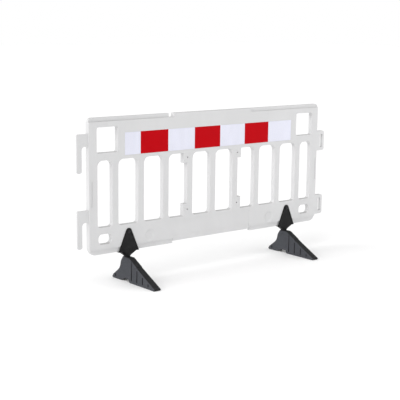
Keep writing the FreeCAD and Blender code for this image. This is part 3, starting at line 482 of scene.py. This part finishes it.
@dataclass(frozen=True)
class GranuleRubber:
    """Recycled rubber pressed from granules, with painted light: faces turned along X are lighter
    and the top is painted dark as shade.
    """

    # Painted light: the lit colour of faces turned along X, and the shaded colour of the top, which
    # the pores take too.
    lit_side_colour: Colour = (0.064, 0.067, 0.076)
    lit_side_share: float = 0.82
    shaded_top_and_pore_colour: Colour = (0.012, 0.012, 0.013)
    cloud: Cloud = Cloud(0.05, 4.0, 0.62, (1.0, 1.4, 1.0), 0.7)
    cloud_share: float = 0.36
    flank_tilts: Step = (0.45, 0.85)
    chip: Colour = (0.125, 0.128, 0.135)
    chips: Cloud = Cloud(0.0035, 2.0, 0.5, step=(0.60, 0.68))
    chips_share: float = 0.14
    flank_chips_share: float = 0.42
    dust: Cloud = Cloud(0.022, 5.0, 0.7, step=(0.48, 0.80))
    dust_share: float = 0.45
    dust_heights: Step = (0.06, 0.0)
    granule_size: float = 0.0042
    granule_step: Step = (0.40, 0.75)
    granule_share: float = 0.26
    granule_height_share: float = 0.65
    granule_depth: float = 0.0006
    pores: Cloud = Cloud(0.0011, 3.0, 0.7)
    pore_step: Step = (0.55, 0.75)
    pore_share: float = 0.22
    pore_height_share: float = 0.35
    relief: float = 0.45
    roughness: float = 0.62
    flank_roughness: float = 0.22
    cloud_roughness: float = 0.16
    specular: float = 0.22

    def material(self) -> bpy.types.Material:
        """Build the material."""
        shader = Shader("foot_rubber")
        granules = shader.cells(self.granule_size, "SMOOTH_F1")
        pores, cloud = shader.noise(self.pores), shader.noise(self.cloud)
        # Painted light: faces turned along X take the lighter colour and more light flecks, and the
        # other faces keep the painted shade of the top.
        lit_flank = abs(shader.facing("X")).ramp(*self.flank_tilts)
        dust = shader.noise(self.dust) * shader.axis("Z").ramp(*self.dust_heights)
        tone = shader.blend(lit_flank * (self.lit_side_share + cloud * self.cloud_share),
                            self.shaded_top_and_pore_colour, self.lit_side_colour)
        flecks = (shader.noise(self.chips) * (self.chips_share + lit_flank * self.flank_chips_share)
                  + dust * self.dust_share)
        soot = (pores.ramp(*self.pore_step) * self.pore_share
                + granules.ramp(*self.granule_step) * self.granule_share)
        height = granules * self.granule_height_share + pores * self.pore_height_share
        flecked = shader.blend(flecks, tone, self.chip)
        shader.set(Base_Color=shader.blend(soot, flecked, self.shaded_top_and_pore_colour),
                   Roughness=(self.roughness + lit_flank * self.flank_roughness
                              + (cloud - NOISE_MEAN) * self.cloud_roughness),
                   Normal=shader.relief(height, self.granule_depth, self.relief),
                   Specular_IOR_Level=self.specular)
        return shader.material


@dataclass(frozen=True)
class PlatedSteel:
    """Steel under a thin electroplated coat, with drawn-wire streaks and dulled patches."""

    name: str
    colour: Colour
    tint: Colour
    metallic: float
    roughness: float
    patch: Cloud = Cloud(0.006, 4.0, 0.6, (1.0, 1.0, 1.0), 0.9)
    patch_step: Step = (0.48, 0.78)
    patch_roughness: float = 0.22
    patch_dulling: float = 0.2
    streak: Cloud = Cloud(0.0006, 2.0, 0.5, (1.0, 12.0, 12.0))
    streak_roughness: float = 0.10
    height_share: float = 0.5
    depth: float = 0.00003
    relief: float = 0.4

    def material(self) -> bpy.types.Material:
        """Build the material."""
        shader = Shader(self.name)
        patch, streak = shader.noise(self.patch), shader.noise(self.streak)
        dulled = patch.ramp(*self.patch_step)
        height = streak * self.height_share + patch * self.height_share
        shader.set(Base_Color=shader.blend(dulled, self.colour, self.tint),
                   Metallic=self.metallic - dulled * self.patch_dulling,
                   Roughness=(self.roughness + dulled * self.patch_roughness
                              + streak * self.streak_roughness),
                   Normal=shader.relief(height, self.depth, self.relief))
        return shader.material


@dataclass(frozen=True)
class FloorPaint:
    """Matt white studio floor with a faint roller texture."""

    colour: Colour = (0.97, 0.97, 0.97)
    roller: Cloud = Cloud(0.02, 3.0, 0.6)
    roller_roughness: float = 0.1
    roller_depth: float = 0.0002
    relief: float = 0.3
    roughness: float = 0.75
    specular: float = 0.2

    def material(self) -> bpy.types.Material:
        """Build the material."""
        shader = Shader("floor_paint")
        roller = shader.noise(self.roller)
        shader.set(Base_Color=self.colour,
                   Roughness=self.roughness + roller * self.roller_roughness,
                   Normal=shader.relief(roller, self.roller_depth, self.relief),
                   Specular_IOR_Level=self.specular)
        return shader.material


def finishes() -> dict[str, bpy.types.Material]:
    """One material for each of the record's material slots."""
    white = Reflective("film_white", colour=(0.80, 0.81, 0.93), seal=(0.92, 0.92, 0.97),
                       specular=0.2)
    red = Reflective("film_red", colour=(0.52, 0.0, 0.004), seal=(0.63, 0.004, 0.012),
                     specular=0.04)
    zinc = PlatedSteel("zinc_steel", colour=(0.60, 0.61, 0.63), tint=(0.50, 0.50, 0.47),
                       metallic=0.95, roughness=0.30)
    black = PlatedSteel("black_steel", colour=(0.030, 0.030, 0.033), tint=(0.055, 0.055, 0.060),
                        metallic=0.60, roughness=0.42)
    made = {"white_hdpe": MouldedWhite(), "film_white": white, "film_red": red,
            "black_plastic": MouldedBlack(), "foot_rubber": GranuleRubber(),
            "zinc_steel": zinc, "black_steel": black}
    return {slot: finish.material() for slot, finish in made.items()}


# Shapes -------------------------------------------------------------------------------------

class Skin:
    """Closed surfaces made from grids of points, gathered into one piece."""

    def __init__(self) -> None:
        """Start empty."""
        self.points: list[np.ndarray] = []
        self.faces: list[list[int]] = []
        self.count = 0

    def add(self, rows: np.ndarray, looped: bool = False) -> None:
        """Join each ring of a grid to the next.

        Args:
            rows: Points as rings by points round a ring by 3; seen from the last ring, a ring
                runs anticlockwise.
            looped: The last ring joins the first; otherwise a flat face closes each end.
        """
        rings, around, _ = rows.shape
        grid = np.arange(rings * around).reshape(rings, around) + self.count
        low = grid if looped else grid[:-1]
        high = np.roll(grid, -1, axis=0) if looped else grid[1:]
        quads = np.stack([low, np.roll(low, -1, 1), np.roll(high, -1, 1), high], -1)
        self.faces += quads.reshape(-1, 4).tolist()
        if not looped:
            self.faces += [grid[0][::-1].tolist(), grid[-1].tolist()]
        self.points.append(rows.reshape(-1, 3))
        self.count += rings * around

    def piece(self, name: str, slot: str, body: str, materials: Mapping[str, Any],
              stands_for: Sequence[str] = (), crease: float = 32.0) -> None:
        """Make the piece, give it its finish and seat it on its body.

        Args:
            name: The piece's name.
            slot: The record's material slot.
            body: The body that it rides on.
            materials: A material for each slot.
            stands_for: The CAD nodes that it replaces.
            crease: The angle in degrees above which an edge stays sharp.
        """
        mesh = bpy.data.meshes.new(name)
        mesh.from_pydata(np.concatenate(self.points).tolist(), [], self.faces)
        mesh.polygons.foreach_set("use_smooth", [True] * len(mesh.polygons))
        mesh.set_sharp_from_angle(angle=math.radians(crease))
        mesh.materials.append(materials[slot])
        made = bpy.data.objects.new(name, mesh)
        bpy.context.scene.collection.objects.link(made)
        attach(made, body)
        if stands_for:
            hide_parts(*stands_for)
        LOG.info("%s: %d faces, rides on %s", name, len(mesh.polygons), body)


class Pointing(Enum):
    """Which way a fastener's own Z points, as the rows of its turn."""

    FRONT = ((1, 0, 0), (0, 0, -1), (0, 1, 0))
    BACK = ((1, 0, 0), (0, 0, 1), (0, -1, 0))
    UP = ((1, 0, 0), (0, 1, 0), (0, 0, 1))
    DOWN = ((1, 0, 0), (0, -1, 0), (0, 0, -1))

    def placed(self, rows: np.ndarray, seat: Sequence[float]) -> np.ndarray:
        """Turn points drawn about the origin and set them on a seat."""
        return rows @ np.array(self.value, float).T + np.array(seat, float)


def angles(count: int) -> np.ndarray:
    """Evenly spaced angles round a circle, half a step off its axes."""
    return (np.arange(count) + 0.5) * (2 * math.pi / count)


def hexagon(turn: np.ndarray, flats: float) -> np.ndarray:
    """Reach of a hexagon: half its width across flats over the cosine from the nearest flat."""
    from_flat = (turn + math.pi / 6) % (math.pi / 3) - math.pi / 6
    return flats / 2 / np.cos(from_flat)


def rounded_square(turn: np.ndarray, half: float) -> np.ndarray:
    """Reach of a rounded square: half over the eighth-power mean of cosine and sine."""
    return half / (np.cos(turn) ** 8 + np.sin(turn) ** 8) ** (1 / 8)


def spun(rings: Sequence[tuple[np.ndarray, float]], turn: np.ndarray) -> np.ndarray:
    """Rings about Z: reach times (cosine, sine) of the angle, at the ring's height.

    Args:
        rings: Each ring's distance from the axis at each angle, and its height.
        turn: The angles.

    Returns:
        Points as rings by angles by 3.
    """
    reach, heights = (np.array(values) for values in zip(*rings))
    reach, heights = np.broadcast_arrays(reach, heights[:, None])
    return np.stack([reach * np.cos(turn), reach * np.sin(turn), heights], -1)


def rounded_outline(corners: np.ndarray, radii: np.ndarray, steps: int) -> np.ndarray:
    """Closed outline with an arc in each corner.

    The arc touches both sides at radius over the tangent of half the corner's angle, its centre
    lies on the bisector, and its points are spherical blends of the two touching directions.

    Args:
        corners: Corner points in order, n by 2.
        radii: The radius of each corner.
        steps: Points in each arc.

    Returns:
        The outline's points, n*steps by 2.
    """
    back = np.roll(corners, 1, 0) - corners
    ahead = np.roll(corners, -1, 0) - corners
    back /= np.linalg.norm(back, axis=1, keepdims=True)
    ahead /= np.linalg.norm(ahead, axis=1, keepdims=True)
    half = np.arccos(np.clip((back * ahead).sum(1), -1, 1)) / 2
    bisector = back + ahead
    bisector /= np.linalg.norm(bisector, axis=1, keepdims=True)
    size = np.maximum(radii, SHARPEST_RADIUS)
    centre = corners + bisector * (size / np.sin(half))[:, None]
    first = (corners + back * (size / np.tan(half))[:, None] - centre) / size[:, None]
    last = (corners + ahead * (size / np.tan(half))[:, None] - centre) / size[:, None]
    sweep = (math.pi - 2 * half)[:, None, None]
    share = np.linspace(0.0, 1.0, steps)[None, :, None]
    blend = (np.sin((1 - share) * sweep) * first[:, None] + np.sin(share * sweep) * last[:, None])
    arcs = centre[:, None] + size[:, None, None] * blend / np.sin(sweep)
    return arcs.reshape(-1, 2)


# Sub-assemblies -----------------------------------------------------------------------------

class Opening(NamedTuple):
    """An opening's reach from the middle, its heights and the radius of its corners."""

    inner: float
    outer: float
    low: float
    high: float
    radius: float


@dataclass
class Panel:
    """Parting bead that the two mould halves leave round the panel and its openings."""

    length: float = 1.865
    top: float = 1.000
    base: float = 0.190
    post_width: float = 0.0607
    bar_width: float = 0.0442
    end_slot_width: float = 0.1033
    slot_base: float = 0.353
    slot_head: float = 0.748
    head_radius: float = 0.036
    foot_radius: float = 0.020
    inner_slots: int = 8
    lug_slot_place: int = 2
    lug_reach: float = 0.0283
    lug_head: float = 0.062
    lug_base: float = 0.077
    grip: Opening = Opening(0.729, 0.876, 0.794, 0.943, 0.012)
    hand: Opening = Opening(0.775, 0.867, 0.251, 0.311, 0.024)
    centre_half: float = 0.316
    base_rise: float = 0.014
    base_notch_width: float = 0.024
    base_notch_height: float = 0.022
    top_notch_width: float = 0.035
    top_notch_depth: float = 0.024
    base_corner: float = 0.048
    head_corner: float = 0.026
    bead_width: float = 0.0014
    bead_height: float = 0.0005
    bead_root: float = 0.0004
    bead_around: int = 10
    corner_steps: int = 7

    def build(self, materials: Mapping[str, Any]) -> None:
        """Build the bead on the panel's middle plane."""
        skin = Skin()
        for corners, radii, inward in self.outlines():
            skin.add(self.bead(np.array(corners), np.array(radii), inward), looped=True)
        skin.piece("panel_seam", "white_hdpe", "barrier", materials)

    def outlines(self) -> list[Outline]:
        """Corners and radii of each opening and the rim, and the side that their bead is on."""
        pitch = ((self.length - 2 * self.post_width - 2 * self.end_slot_width - self.bar_width)
                 / self.inner_slots)
        half = (pitch - self.bar_width) / 2
        low, high = self.slot_base, self.slot_head
        slot_radii = (self.foot_radius, self.foot_radius, self.head_radius, self.head_radius)
        last = self.inner_slots - 1
        plain = [pitch * (index - last / 2) for index in range(self.inner_slots)
                 if index not in (self.lug_slot_place, last - self.lug_slot_place)]
        made = [(self.box(x - half, x + half, low, high), slot_radii, INSIDE)
                for x in plain]
        outer = self.length / 2 - self.post_width
        for sign in (-1, 1):
            made.append((self.sided(sign, outer - self.end_slot_width, outer, low, high),
                         slot_radii, INSIDE))
            for opening in (self.grip, self.hand):
                made.append((self.sided(sign, *opening[:4]), (opening.radius,) * 4,
                             INSIDE))
            made.append(self.lug_slot(sign, pitch, low, high))
        made.append(self.rim())
        return made

    def lug_slot(self, sign: float, pitch: float, low: float, high: float) -> Outline:
        """Outline of the slot that the sign lugs reach into, on one side."""
        bar, far = pitch + self.bar_width / 2, 2 * pitch - self.bar_width / 2
        lug = bar + self.lug_reach
        corners = [(lug, low), (far, low), (far, high), (lug, high), (lug, high - self.lug_head),
                   (bar, high - self.lug_head), (bar, low + self.lug_base),
                   (lug, low + self.lug_base)]
        radii = [0.0, self.foot_radius, self.head_radius] + [0.0] * 5
        if sign < 0:
            corners, radii = [(-x, z) for x, z in corners[::-1]], radii[::-1]
        return corners, radii, INSIDE

    def rim(self) -> Outline:
        """Outline of the whole panel, with its raised middle and its two notches.

        Along the top edge the bead lies level with the panel, where the mould trims it.

        Returns:
            Its corners and radii, and the side that the bead is on.
        """
        half, centre, top = self.length / 2, self.centre_half, self.top - self.bead_height
        rise, notch_top = self.base + self.base_rise, self.base + self.base_notch_height
        notch = self.base_notch_width / 2
        notch_floor = self.top - self.top_notch_depth
        notch_end = -centre - self.top_notch_width
        corners = [(-half, self.base), (-centre, self.base), (-centre, rise),
                   (centre - notch, rise), (centre - notch, notch_top),
                   (centre + notch, notch_top), (centre + notch, self.base),
                   (half, self.base), (half, top), (-centre, top), (-centre, notch_floor),
                   (notch_end, notch_floor), (notch_end, top), (-half, top)]
        radii = [self.base_corner] + [0.0] * 6 + [self.base_corner, self.head_corner]
        radii += [0.0] * 4 + [self.head_corner]
        return corners, radii, OUTSIDE

    def sided(self, sign: float, inner: float, outer: float, low: float,
              high: float) -> Sequence:
        """Corners of a rectangle left of the middle, for a sign of -1, or right of it."""
        return self.box(*sorted((sign * inner, sign * outer)), low, high)

    @staticmethod
    def box(left: float, right: float, low: float, high: float) -> Sequence:
        """Corners of an upright rectangle, anticlockwise from its lower left."""
        return [(left, low), (right, low), (right, high), (left, high)]

    def bead(self, corners: np.ndarray, radii: np.ndarray, inward: float) -> np.ndarray:
        """Half-round bead along an outline.

        Round the bead at angle t, a point stands cos(t) half widths along Y and the larger of
        sin(t) heights and minus the root along the wall's normal, which is the outline's
        direction turned a quarter.

        Args:
            corners: The outline's corners, anticlockwise.
            radii: The radius of each corner.
            inward: The side of the outline that the bead stands on.

        Returns:
            Its rings.
        """
        path = rounded_outline(corners, radii, self.corner_steps)
        along = np.roll(path, -1, 0) - np.roll(path, 1, 0)
        along /= np.linalg.norm(along, axis=1, keepdims=True)
        normal = np.stack([-along[:, 1], along[:, 0]], -1) * inward
        turn = angles(self.bead_around) * inward
        rise = np.maximum(np.sin(turn) * self.bead_height * inward, -self.bead_root)
        spread = np.cos(turn) * self.bead_width / 2
        points = path[:, None, :] + normal[:, None, :] * rise[None, :, None]
        width = np.broadcast_to(spread[None, :], points.shape[:2])
        return np.stack([points[..., 0] + MIDDLE[0], width + MIDDLE[1], points[..., 1]], -1)


@dataclass
class SignFilm:
    """Seven reflective sheets, each with rounded corners and a cut edge that falls away."""

    corner: float = 0.0025
    edge: float = 0.00018
    corner_steps: int = 6
    crease: float = 20.0

    def build(self, materials: Mapping[str, Any]) -> None:
        """Build one sheet in the box of each film node."""
        for row in frame["record"]["subparts"]:
            if row["node"].startswith("film_"):
                self.sheet(row["node"], row["material_slot"], materials)

    def sheet(self, node: str, slot: str, materials: Mapping[str, Any]) -> None:
        """One sheet: the same rounded outline at its back, below its edge and on its face.

        Args:
            node: The CAD node that it replaces.
            slot: Its material slot.
            materials: A material for each slot.
        """
        low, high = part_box(node)
        rings = []
        for inset, depth in ((0.0, high.y), (0.0, low.y + self.edge), (self.edge, low.y)):
            corners = np.array(Panel.box(low.x + inset, high.x - inset, low.z + inset,
                                         high.z - inset))
            outline = rounded_outline(corners, np.full(4, self.corner - inset),
                                      self.corner_steps)
            rings.append(np.stack([outline[:, 0], np.full(len(outline), depth),
                                   outline[:, 1]], -1))
        skin = Skin()
        skin.add(np.array(rings))
        skin.piece(node.replace("film", "sheet"), slot, "barrier", materials, [node],
                   self.crease)


@dataclass(frozen=True)
class Bolt:
    """Round-headed bolt with a rolled thread."""

    radius: float
    head_radius: float
    head_height: float
    pitch: float
    threaded: float
    square: float = 0.0
    socket: float = 0.0
    around: int = 48
    thread_share: float = 0.06
    rings_per_pitch: int = 7
    seat_share: float = 0.97
    crown_from: float = 0.12
    crown_to: float = 0.46 * math.pi
    crown_rings: int = 12
    socket_rim_share: float = 0.8
    socket_point_share: float = 0.2

    def rows(self, length: float) -> np.ndarray:
        """Rings from the tail to the crown, the head's seat at zero.

        The thread's reach is the radius less a depth times the distance, in pitches, from the
        nearest crest of height/pitch - angle/turn. The crown is a quarter ellipse, and a driving
        socket is a hexagon let into it.

        Args:
            length: From the seat to the tail.

        Returns:
            Rings by angles by 3.
        """
        turn = angles(self.around)
        ones = np.ones(self.around)
        depth = 2 * self.radius * self.thread_share
        tail = [((self.radius - 2 * depth) * ones, -length)]
        heights = np.arange(-length + depth, -length + self.threaded,
                            self.pitch / self.rings_per_pitch)
        phase = heights[:, None] / self.pitch - turn[None, :] / (2 * math.pi)
        crest = np.abs(phase % 1.0 - 0.5) * 2
        thread = list(zip(self.radius - depth * (1 - crest), heights))
        edge = self.radius * ones
        shank = [(edge, heights[-1] + depth)]
        if self.square:
            shank += [(edge, -self.square)]
            edge = np.maximum(rounded_square(turn, self.radius), self.radius)
            shank += [(edge, -self.square + depth)]
        shank += [(edge, -depth / 4)]
        head = [(self.head_radius * self.seat_share * ones, 0.0),
                (self.head_radius * ones, depth / 2)]
        rise = np.linspace(self.crown_from, self.crown_to, self.crown_rings)
        if self.socket:
            rim = self.socket_rim_share * self.socket / self.head_radius
            rise = rise[rise < math.acos(rim)]
        head += [(self.head_radius * math.cos(t) * ones, self.head_height * math.sin(t))
                 for t in rise]
        if self.socket:
            key = hexagon(turn, self.socket)
            crown = self.head_height * math.sin(rise[-1])
            floor = crown - self.socket / 2
            head += [(key + depth / 3, crown + depth / 6), (key, crown - depth / 4),
                     (key, floor), (key * self.socket_point_share, floor - depth)]
        return spun(tail + thread + shank + head, turn)


@dataclass(frozen=True)
class Washer:
    """Punched washer: rounded on its punched edge, with a small burr chamfer on the other."""

    radius: float
    bore: float
    thickness: float
    around: int = 64
    rounding: float = 0.28
    rounding_bend: float = 0.3

    def rows(self) -> np.ndarray:
        """Looped rings of its section, its lower face at zero."""
        turn = angles(self.around)
        soft = self.thickness * self.rounding
        bend, burr = soft * self.rounding_bend, soft / 3
        outer = [(-burr, 0.0), (0.0, burr), (0.0, self.thickness - soft),
                 (-bend, self.thickness - bend), (-soft, self.thickness)]
        section = [(self.radius + inset, height) for inset, height in outer]
        section += [(self.bore - inset, height) for inset, height in outer[::-1]]
        ones = np.ones(self.around)
        return spun([(reach * ones, height) for reach, height in section], turn)


@dataclass(frozen=True)
class LockNut:
    """Hexagonal lock nut: chamfered flats, and a rolled collar that grips a plastic ring."""

    flats: float
    height: float
    bore: float
    around: int = 72
    flats_share: float = 0.75
    collar_share: float = 0.44
    chamfer: float = math.tan(math.radians(30.0))
    chamfer_share: float = 0.09
    chamfer_reach: float = 0.475
    chamfer_rings: int = 5
    lip_share: float = 0.45
    lip_root: float = 0.2
    lip_rings: int = 9
    ring_drop: float = 1.2
    ring_bore: float = 1.04
    mouth_share: float = 0.06
    mouth_bore: float = 1.08

    def rows(self) -> np.ndarray:
        """Looped rings of its section, its lower face at zero.

        A flat's ring reaches the smaller of the hexagon and a cone that opens from a little
        outside the flats at 30 degrees.

        Returns:
            Rings by angles by 3.
        """
        turn = angles(self.around)
        ones = np.ones(self.around)
        key = hexagon(turn, self.flats)
        shoulder = self.height * self.flats_share
        collar = self.flats * self.collar_share
        rise = np.linspace(0.0, self.flats * self.chamfer_share, self.chamfer_rings)
        cone = self.flats * self.chamfer_reach + rise / self.chamfer
        rings = [(np.minimum(key, reach), height) for reach, height in zip(cone, rise)]
        rings += [(ring, shoulder - height) for ring, height in rings[::-1]]
        lip = (self.height - shoulder) * self.lip_share
        rings += [(collar * ones, shoulder + lip * self.lip_root)]
        rings += [((collar - lip + lip * math.cos(t)) * ones,
                   self.height - lip + lip * math.sin(t))
                  for t in np.linspace(0.0, math.pi, self.lip_rings)]
        ring_top = self.height - lip * self.ring_drop
        rings += [(self.bore * self.ring_bore * ones, ring_top),
                  (self.bore * ones, ring_top - lip / 2),
                  (self.bore * ones, self.height * self.mouth_share),
                  (self.bore * self.mouth_bore * ones, 0.0)]
        return spun(rings, turn)


@dataclass
class Fasteners:
    """Bolts, washers and nuts of one kind, gathered into one piece for each CAD node."""

    kind: str
    slot: str
    bolt: Bolt
    washer: Washer
    nut: LockNut

    def pieces(self, groups: Mapping[str, Skin], materials: Mapping[str, Any]) -> None:
        """Turn each group into the piece that replaces its CAD node."""
        for key, skin in groups.items():
            skin.piece(f"{self.kind}_{key}_turned", self.slot, "barrier", materials,
                       [f"{self.kind}_{key}"])


@dataclass
class SaddleFasteners(Fasteners):
    """Bolt, two washers and lock nut through each saddle and the panel."""

    kind: str = "saddle"
    slot: str = "black_steel"
    bolt: Bolt = Bolt(0.004, 0.0075, 0.0045, pitch=0.00125, threaded=0.022, socket=0.005)
    washer: Washer = Washer(0.009, 0.00425, 0.0016)
    nut: LockNut = LockNut(0.013, 0.008, 0.00404)

    def build(self, materials: Mapping[str, Any]) -> None:
        """Build the three groups round the axes that the washers give."""
        low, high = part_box("saddle_washers")
        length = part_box("saddle_bolts")[1].y - low.y
        height, thick = (low.z + high.z) / 2, self.washer.thickness
        bolts, washers, nuts = Skin(), Skin(), Skin()
        for across in FEET.values():
            bolts.add(Pointing.FRONT.placed(self.bolt.rows(length), (across, low.y, height)))
            for way, depth in ((Pointing.FRONT, low.y + thick), (Pointing.BACK, high.y - thick)):
                washers.add(way.placed(self.washer.rows(), (across, depth, height)), looped=True)
            nuts.add(Pointing.BACK.placed(self.nut.rows(), (across, high.y, height)),
                     looped=True)
        self.pieces({"bolts": bolts, "washers": washers, "nuts": nuts}, materials)


@dataclass
class SwivelFasteners(Fasteners):
    """Carriage bolt, washer and lock nut that each foot turns on."""

    kind: str = "swivel"
    slot: str = "zinc_steel"
    bolt: Bolt = Bolt(0.006, 0.014, 0.006, pitch=0.00175, threaded=0.030, square=0.006)
    washer: Washer = Washer(0.015, 0.00625, 0.0025)
    nut: LockNut = LockNut(0.019, 0.012, 0.00604)

    def build(self, materials: Mapping[str, Any]) -> None:
        """Build the three groups round the feet's own axes."""
        bolt_low, bolt_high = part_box("swivel_bolts")
        seat = bolt_high.z - self.bolt.head_height
        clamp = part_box("swivel_washers")[0].z
        bolts, washers, nuts = Skin(), Skin(), Skin()
        for across in FEET.values():
            under = (across, MIDDLE[1], clamp)
            bolts.add(Pointing.UP.placed(self.bolt.rows(seat - bolt_low.z),
                                         (across, MIDDLE[1], seat)))
            washers.add(Pointing.UP.placed(self.washer.rows(), under), looped=True)
            nuts.add(Pointing.DOWN.placed(self.nut.rows(), under), looped=True)
        self.pieces({"bolts": bolts, "washers": washers, "nuts": nuts}, materials)


class MouldedParts:
    """The CAD nodes in their finishes, some of which a finer piece stands in for."""

    def dress(self, materials: Mapping[str, Any]) -> None:
        """Give each node the finish of its slot."""
        for row in frame["record"]["subparts"]:
            dressed = frame["nodes"][row["node"]].data.materials
            dressed.clear()
            dressed.append(materials[row["material_slot"]])
            LOG.info("%s has the finish %s", row["node"], row["material_slot"])


# Stage --------------------------------------------------------------------------------------

@dataclass
class Studio:
    """Pale floor, soft light and the camera."""

    azimuth: float = -39.351
    elevation: float = 10.239
    roll: float = 0.710
    lens: float = 92.13
    sensor: float = 36.0
    position: Sequence[float] = (-4.1233, -4.8344, 1.5870)
    view_share: float = 5.0
    floor_radius: float = 40.0
    sky: float = 0.66
    sun_from: Sequence[float] = (-0.85, -0.02, 0.80)
    sun_strength: float = 2.0
    sun_spread: float = 70.0
    fill_place: Sequence[float] = (3.8, -4.0, 1.6)
    fill_size: float = 3.0
    fill_power: float = 30.0

    def build(self) -> None:
        """Make the camera, the floor and the lights."""
        self.camera()
        self.floor()
        self.world()
        self.sun()
        self.fill()

    def camera(self) -> None:
        """Camera at its place, turned to its azimuth, elevation and roll."""
        data = bpy.data.cameras.new("camera")
        data.lens = self.lens
        data.sensor_width = self.sensor
        data.clip_end = self.view_share * self.floor_radius
        camera = bpy.data.objects.new("camera", data)
        turn = (Matrix.Rotation(math.radians(self.azimuth), 4, "Z")
                @ Matrix.Rotation(math.radians(90.0 - self.elevation), 4, "X")
                @ Matrix.Rotation(math.radians(self.roll), 4, "Z"))
        camera.matrix_world = Matrix.Translation(self.position) @ turn
        bpy.context.scene.collection.objects.link(camera)
        bpy.context.scene.camera = camera

    def floor(self) -> None:
        """Large pale floor."""
        r = self.floor_radius
        mesh = bpy.data.meshes.new("floor")
        mesh.from_pydata([(-r, -r, 0), (r, -r, 0), (r, r, 0), (-r, r, 0)], [], [(0, 1, 2, 3)])
        floor = bpy.data.objects.new("floor", mesh)
        bpy.context.scene.collection.objects.link(floor)
        mesh.materials.append(FloorPaint().material())

    def world(self) -> None:
        """White surroundings that light the object less than they show."""
        world = bpy.data.worlds.new("studio")
        world.use_nodes = True
        bpy.context.scene.world = world
        background = world.node_tree.nodes["Background"]
        background.inputs["Color"].default_value = (1.0, 1.0, 1.0, 1.0)
        path = world.node_tree.nodes.new("ShaderNodeLightPath")
        strength = world.node_tree.nodes.new("ShaderNodeMapRange")
        strength.inputs["To Min"].default_value = self.sky
        strength.inputs["To Max"].default_value = 1.0
        world.node_tree.links.new(path.outputs["Is Camera Ray"], strength.inputs["Value"])
        world.node_tree.links.new(strength.outputs["Result"], background.inputs["Strength"])

    def light(self, name: str, kind: str, power: float,
              towards: Vector) -> tuple[bpy.types.Object, bpy.types.Light]:
        """One light, turned to shine one way.

        Args:
            name: The light's name.
            kind: Its type.
            power: Its output in watts, or in watts a square metre for a sun.
            towards: The direction that it shines.

        Returns:
            The light's object and its data.
        """
        data = bpy.data.lights.new(name, kind)
        data.energy = power
        light = bpy.data.objects.new(name, data)
        light.rotation_euler = towards.to_track_quat("-Z", "Y").to_euler()
        bpy.context.scene.collection.objects.link(light)
        return light, data

    def sun(self) -> None:
        """Very soft light from one side of the sky."""
        _, data = self.light("key", "SUN", self.sun_strength, -Vector(self.sun_from))
        data.angle = math.radians(self.sun_spread)

    def fill(self) -> None:
        """One square soft box that faces the middle of the object."""
        aim = (CAD_BOX[0] + CAD_BOX[1]) / 2 - Vector(self.fill_place)
        light, data = self.light("fill", "AREA", self.fill_power, aim)
        data.size = self.fill_size
        light.location = self.fill_place


def main() -> None:
    """Build the stage, the new pieces and the finishes in order."""
    bpy.context.scene.view_settings.view_transform = "Standard"
    Studio().build()
    materials = finishes()
    MouldedParts().dress(materials)
    for assembly in (Panel(), SignFilm(), SaddleFasteners(), SwivelFasteners()):
        assembly.build(materials)
        LOG.info("built %s", type(assembly).__name__)


if __name__ == "__main__":
    logging.basicConfig(level=logging.INFO)
    main()
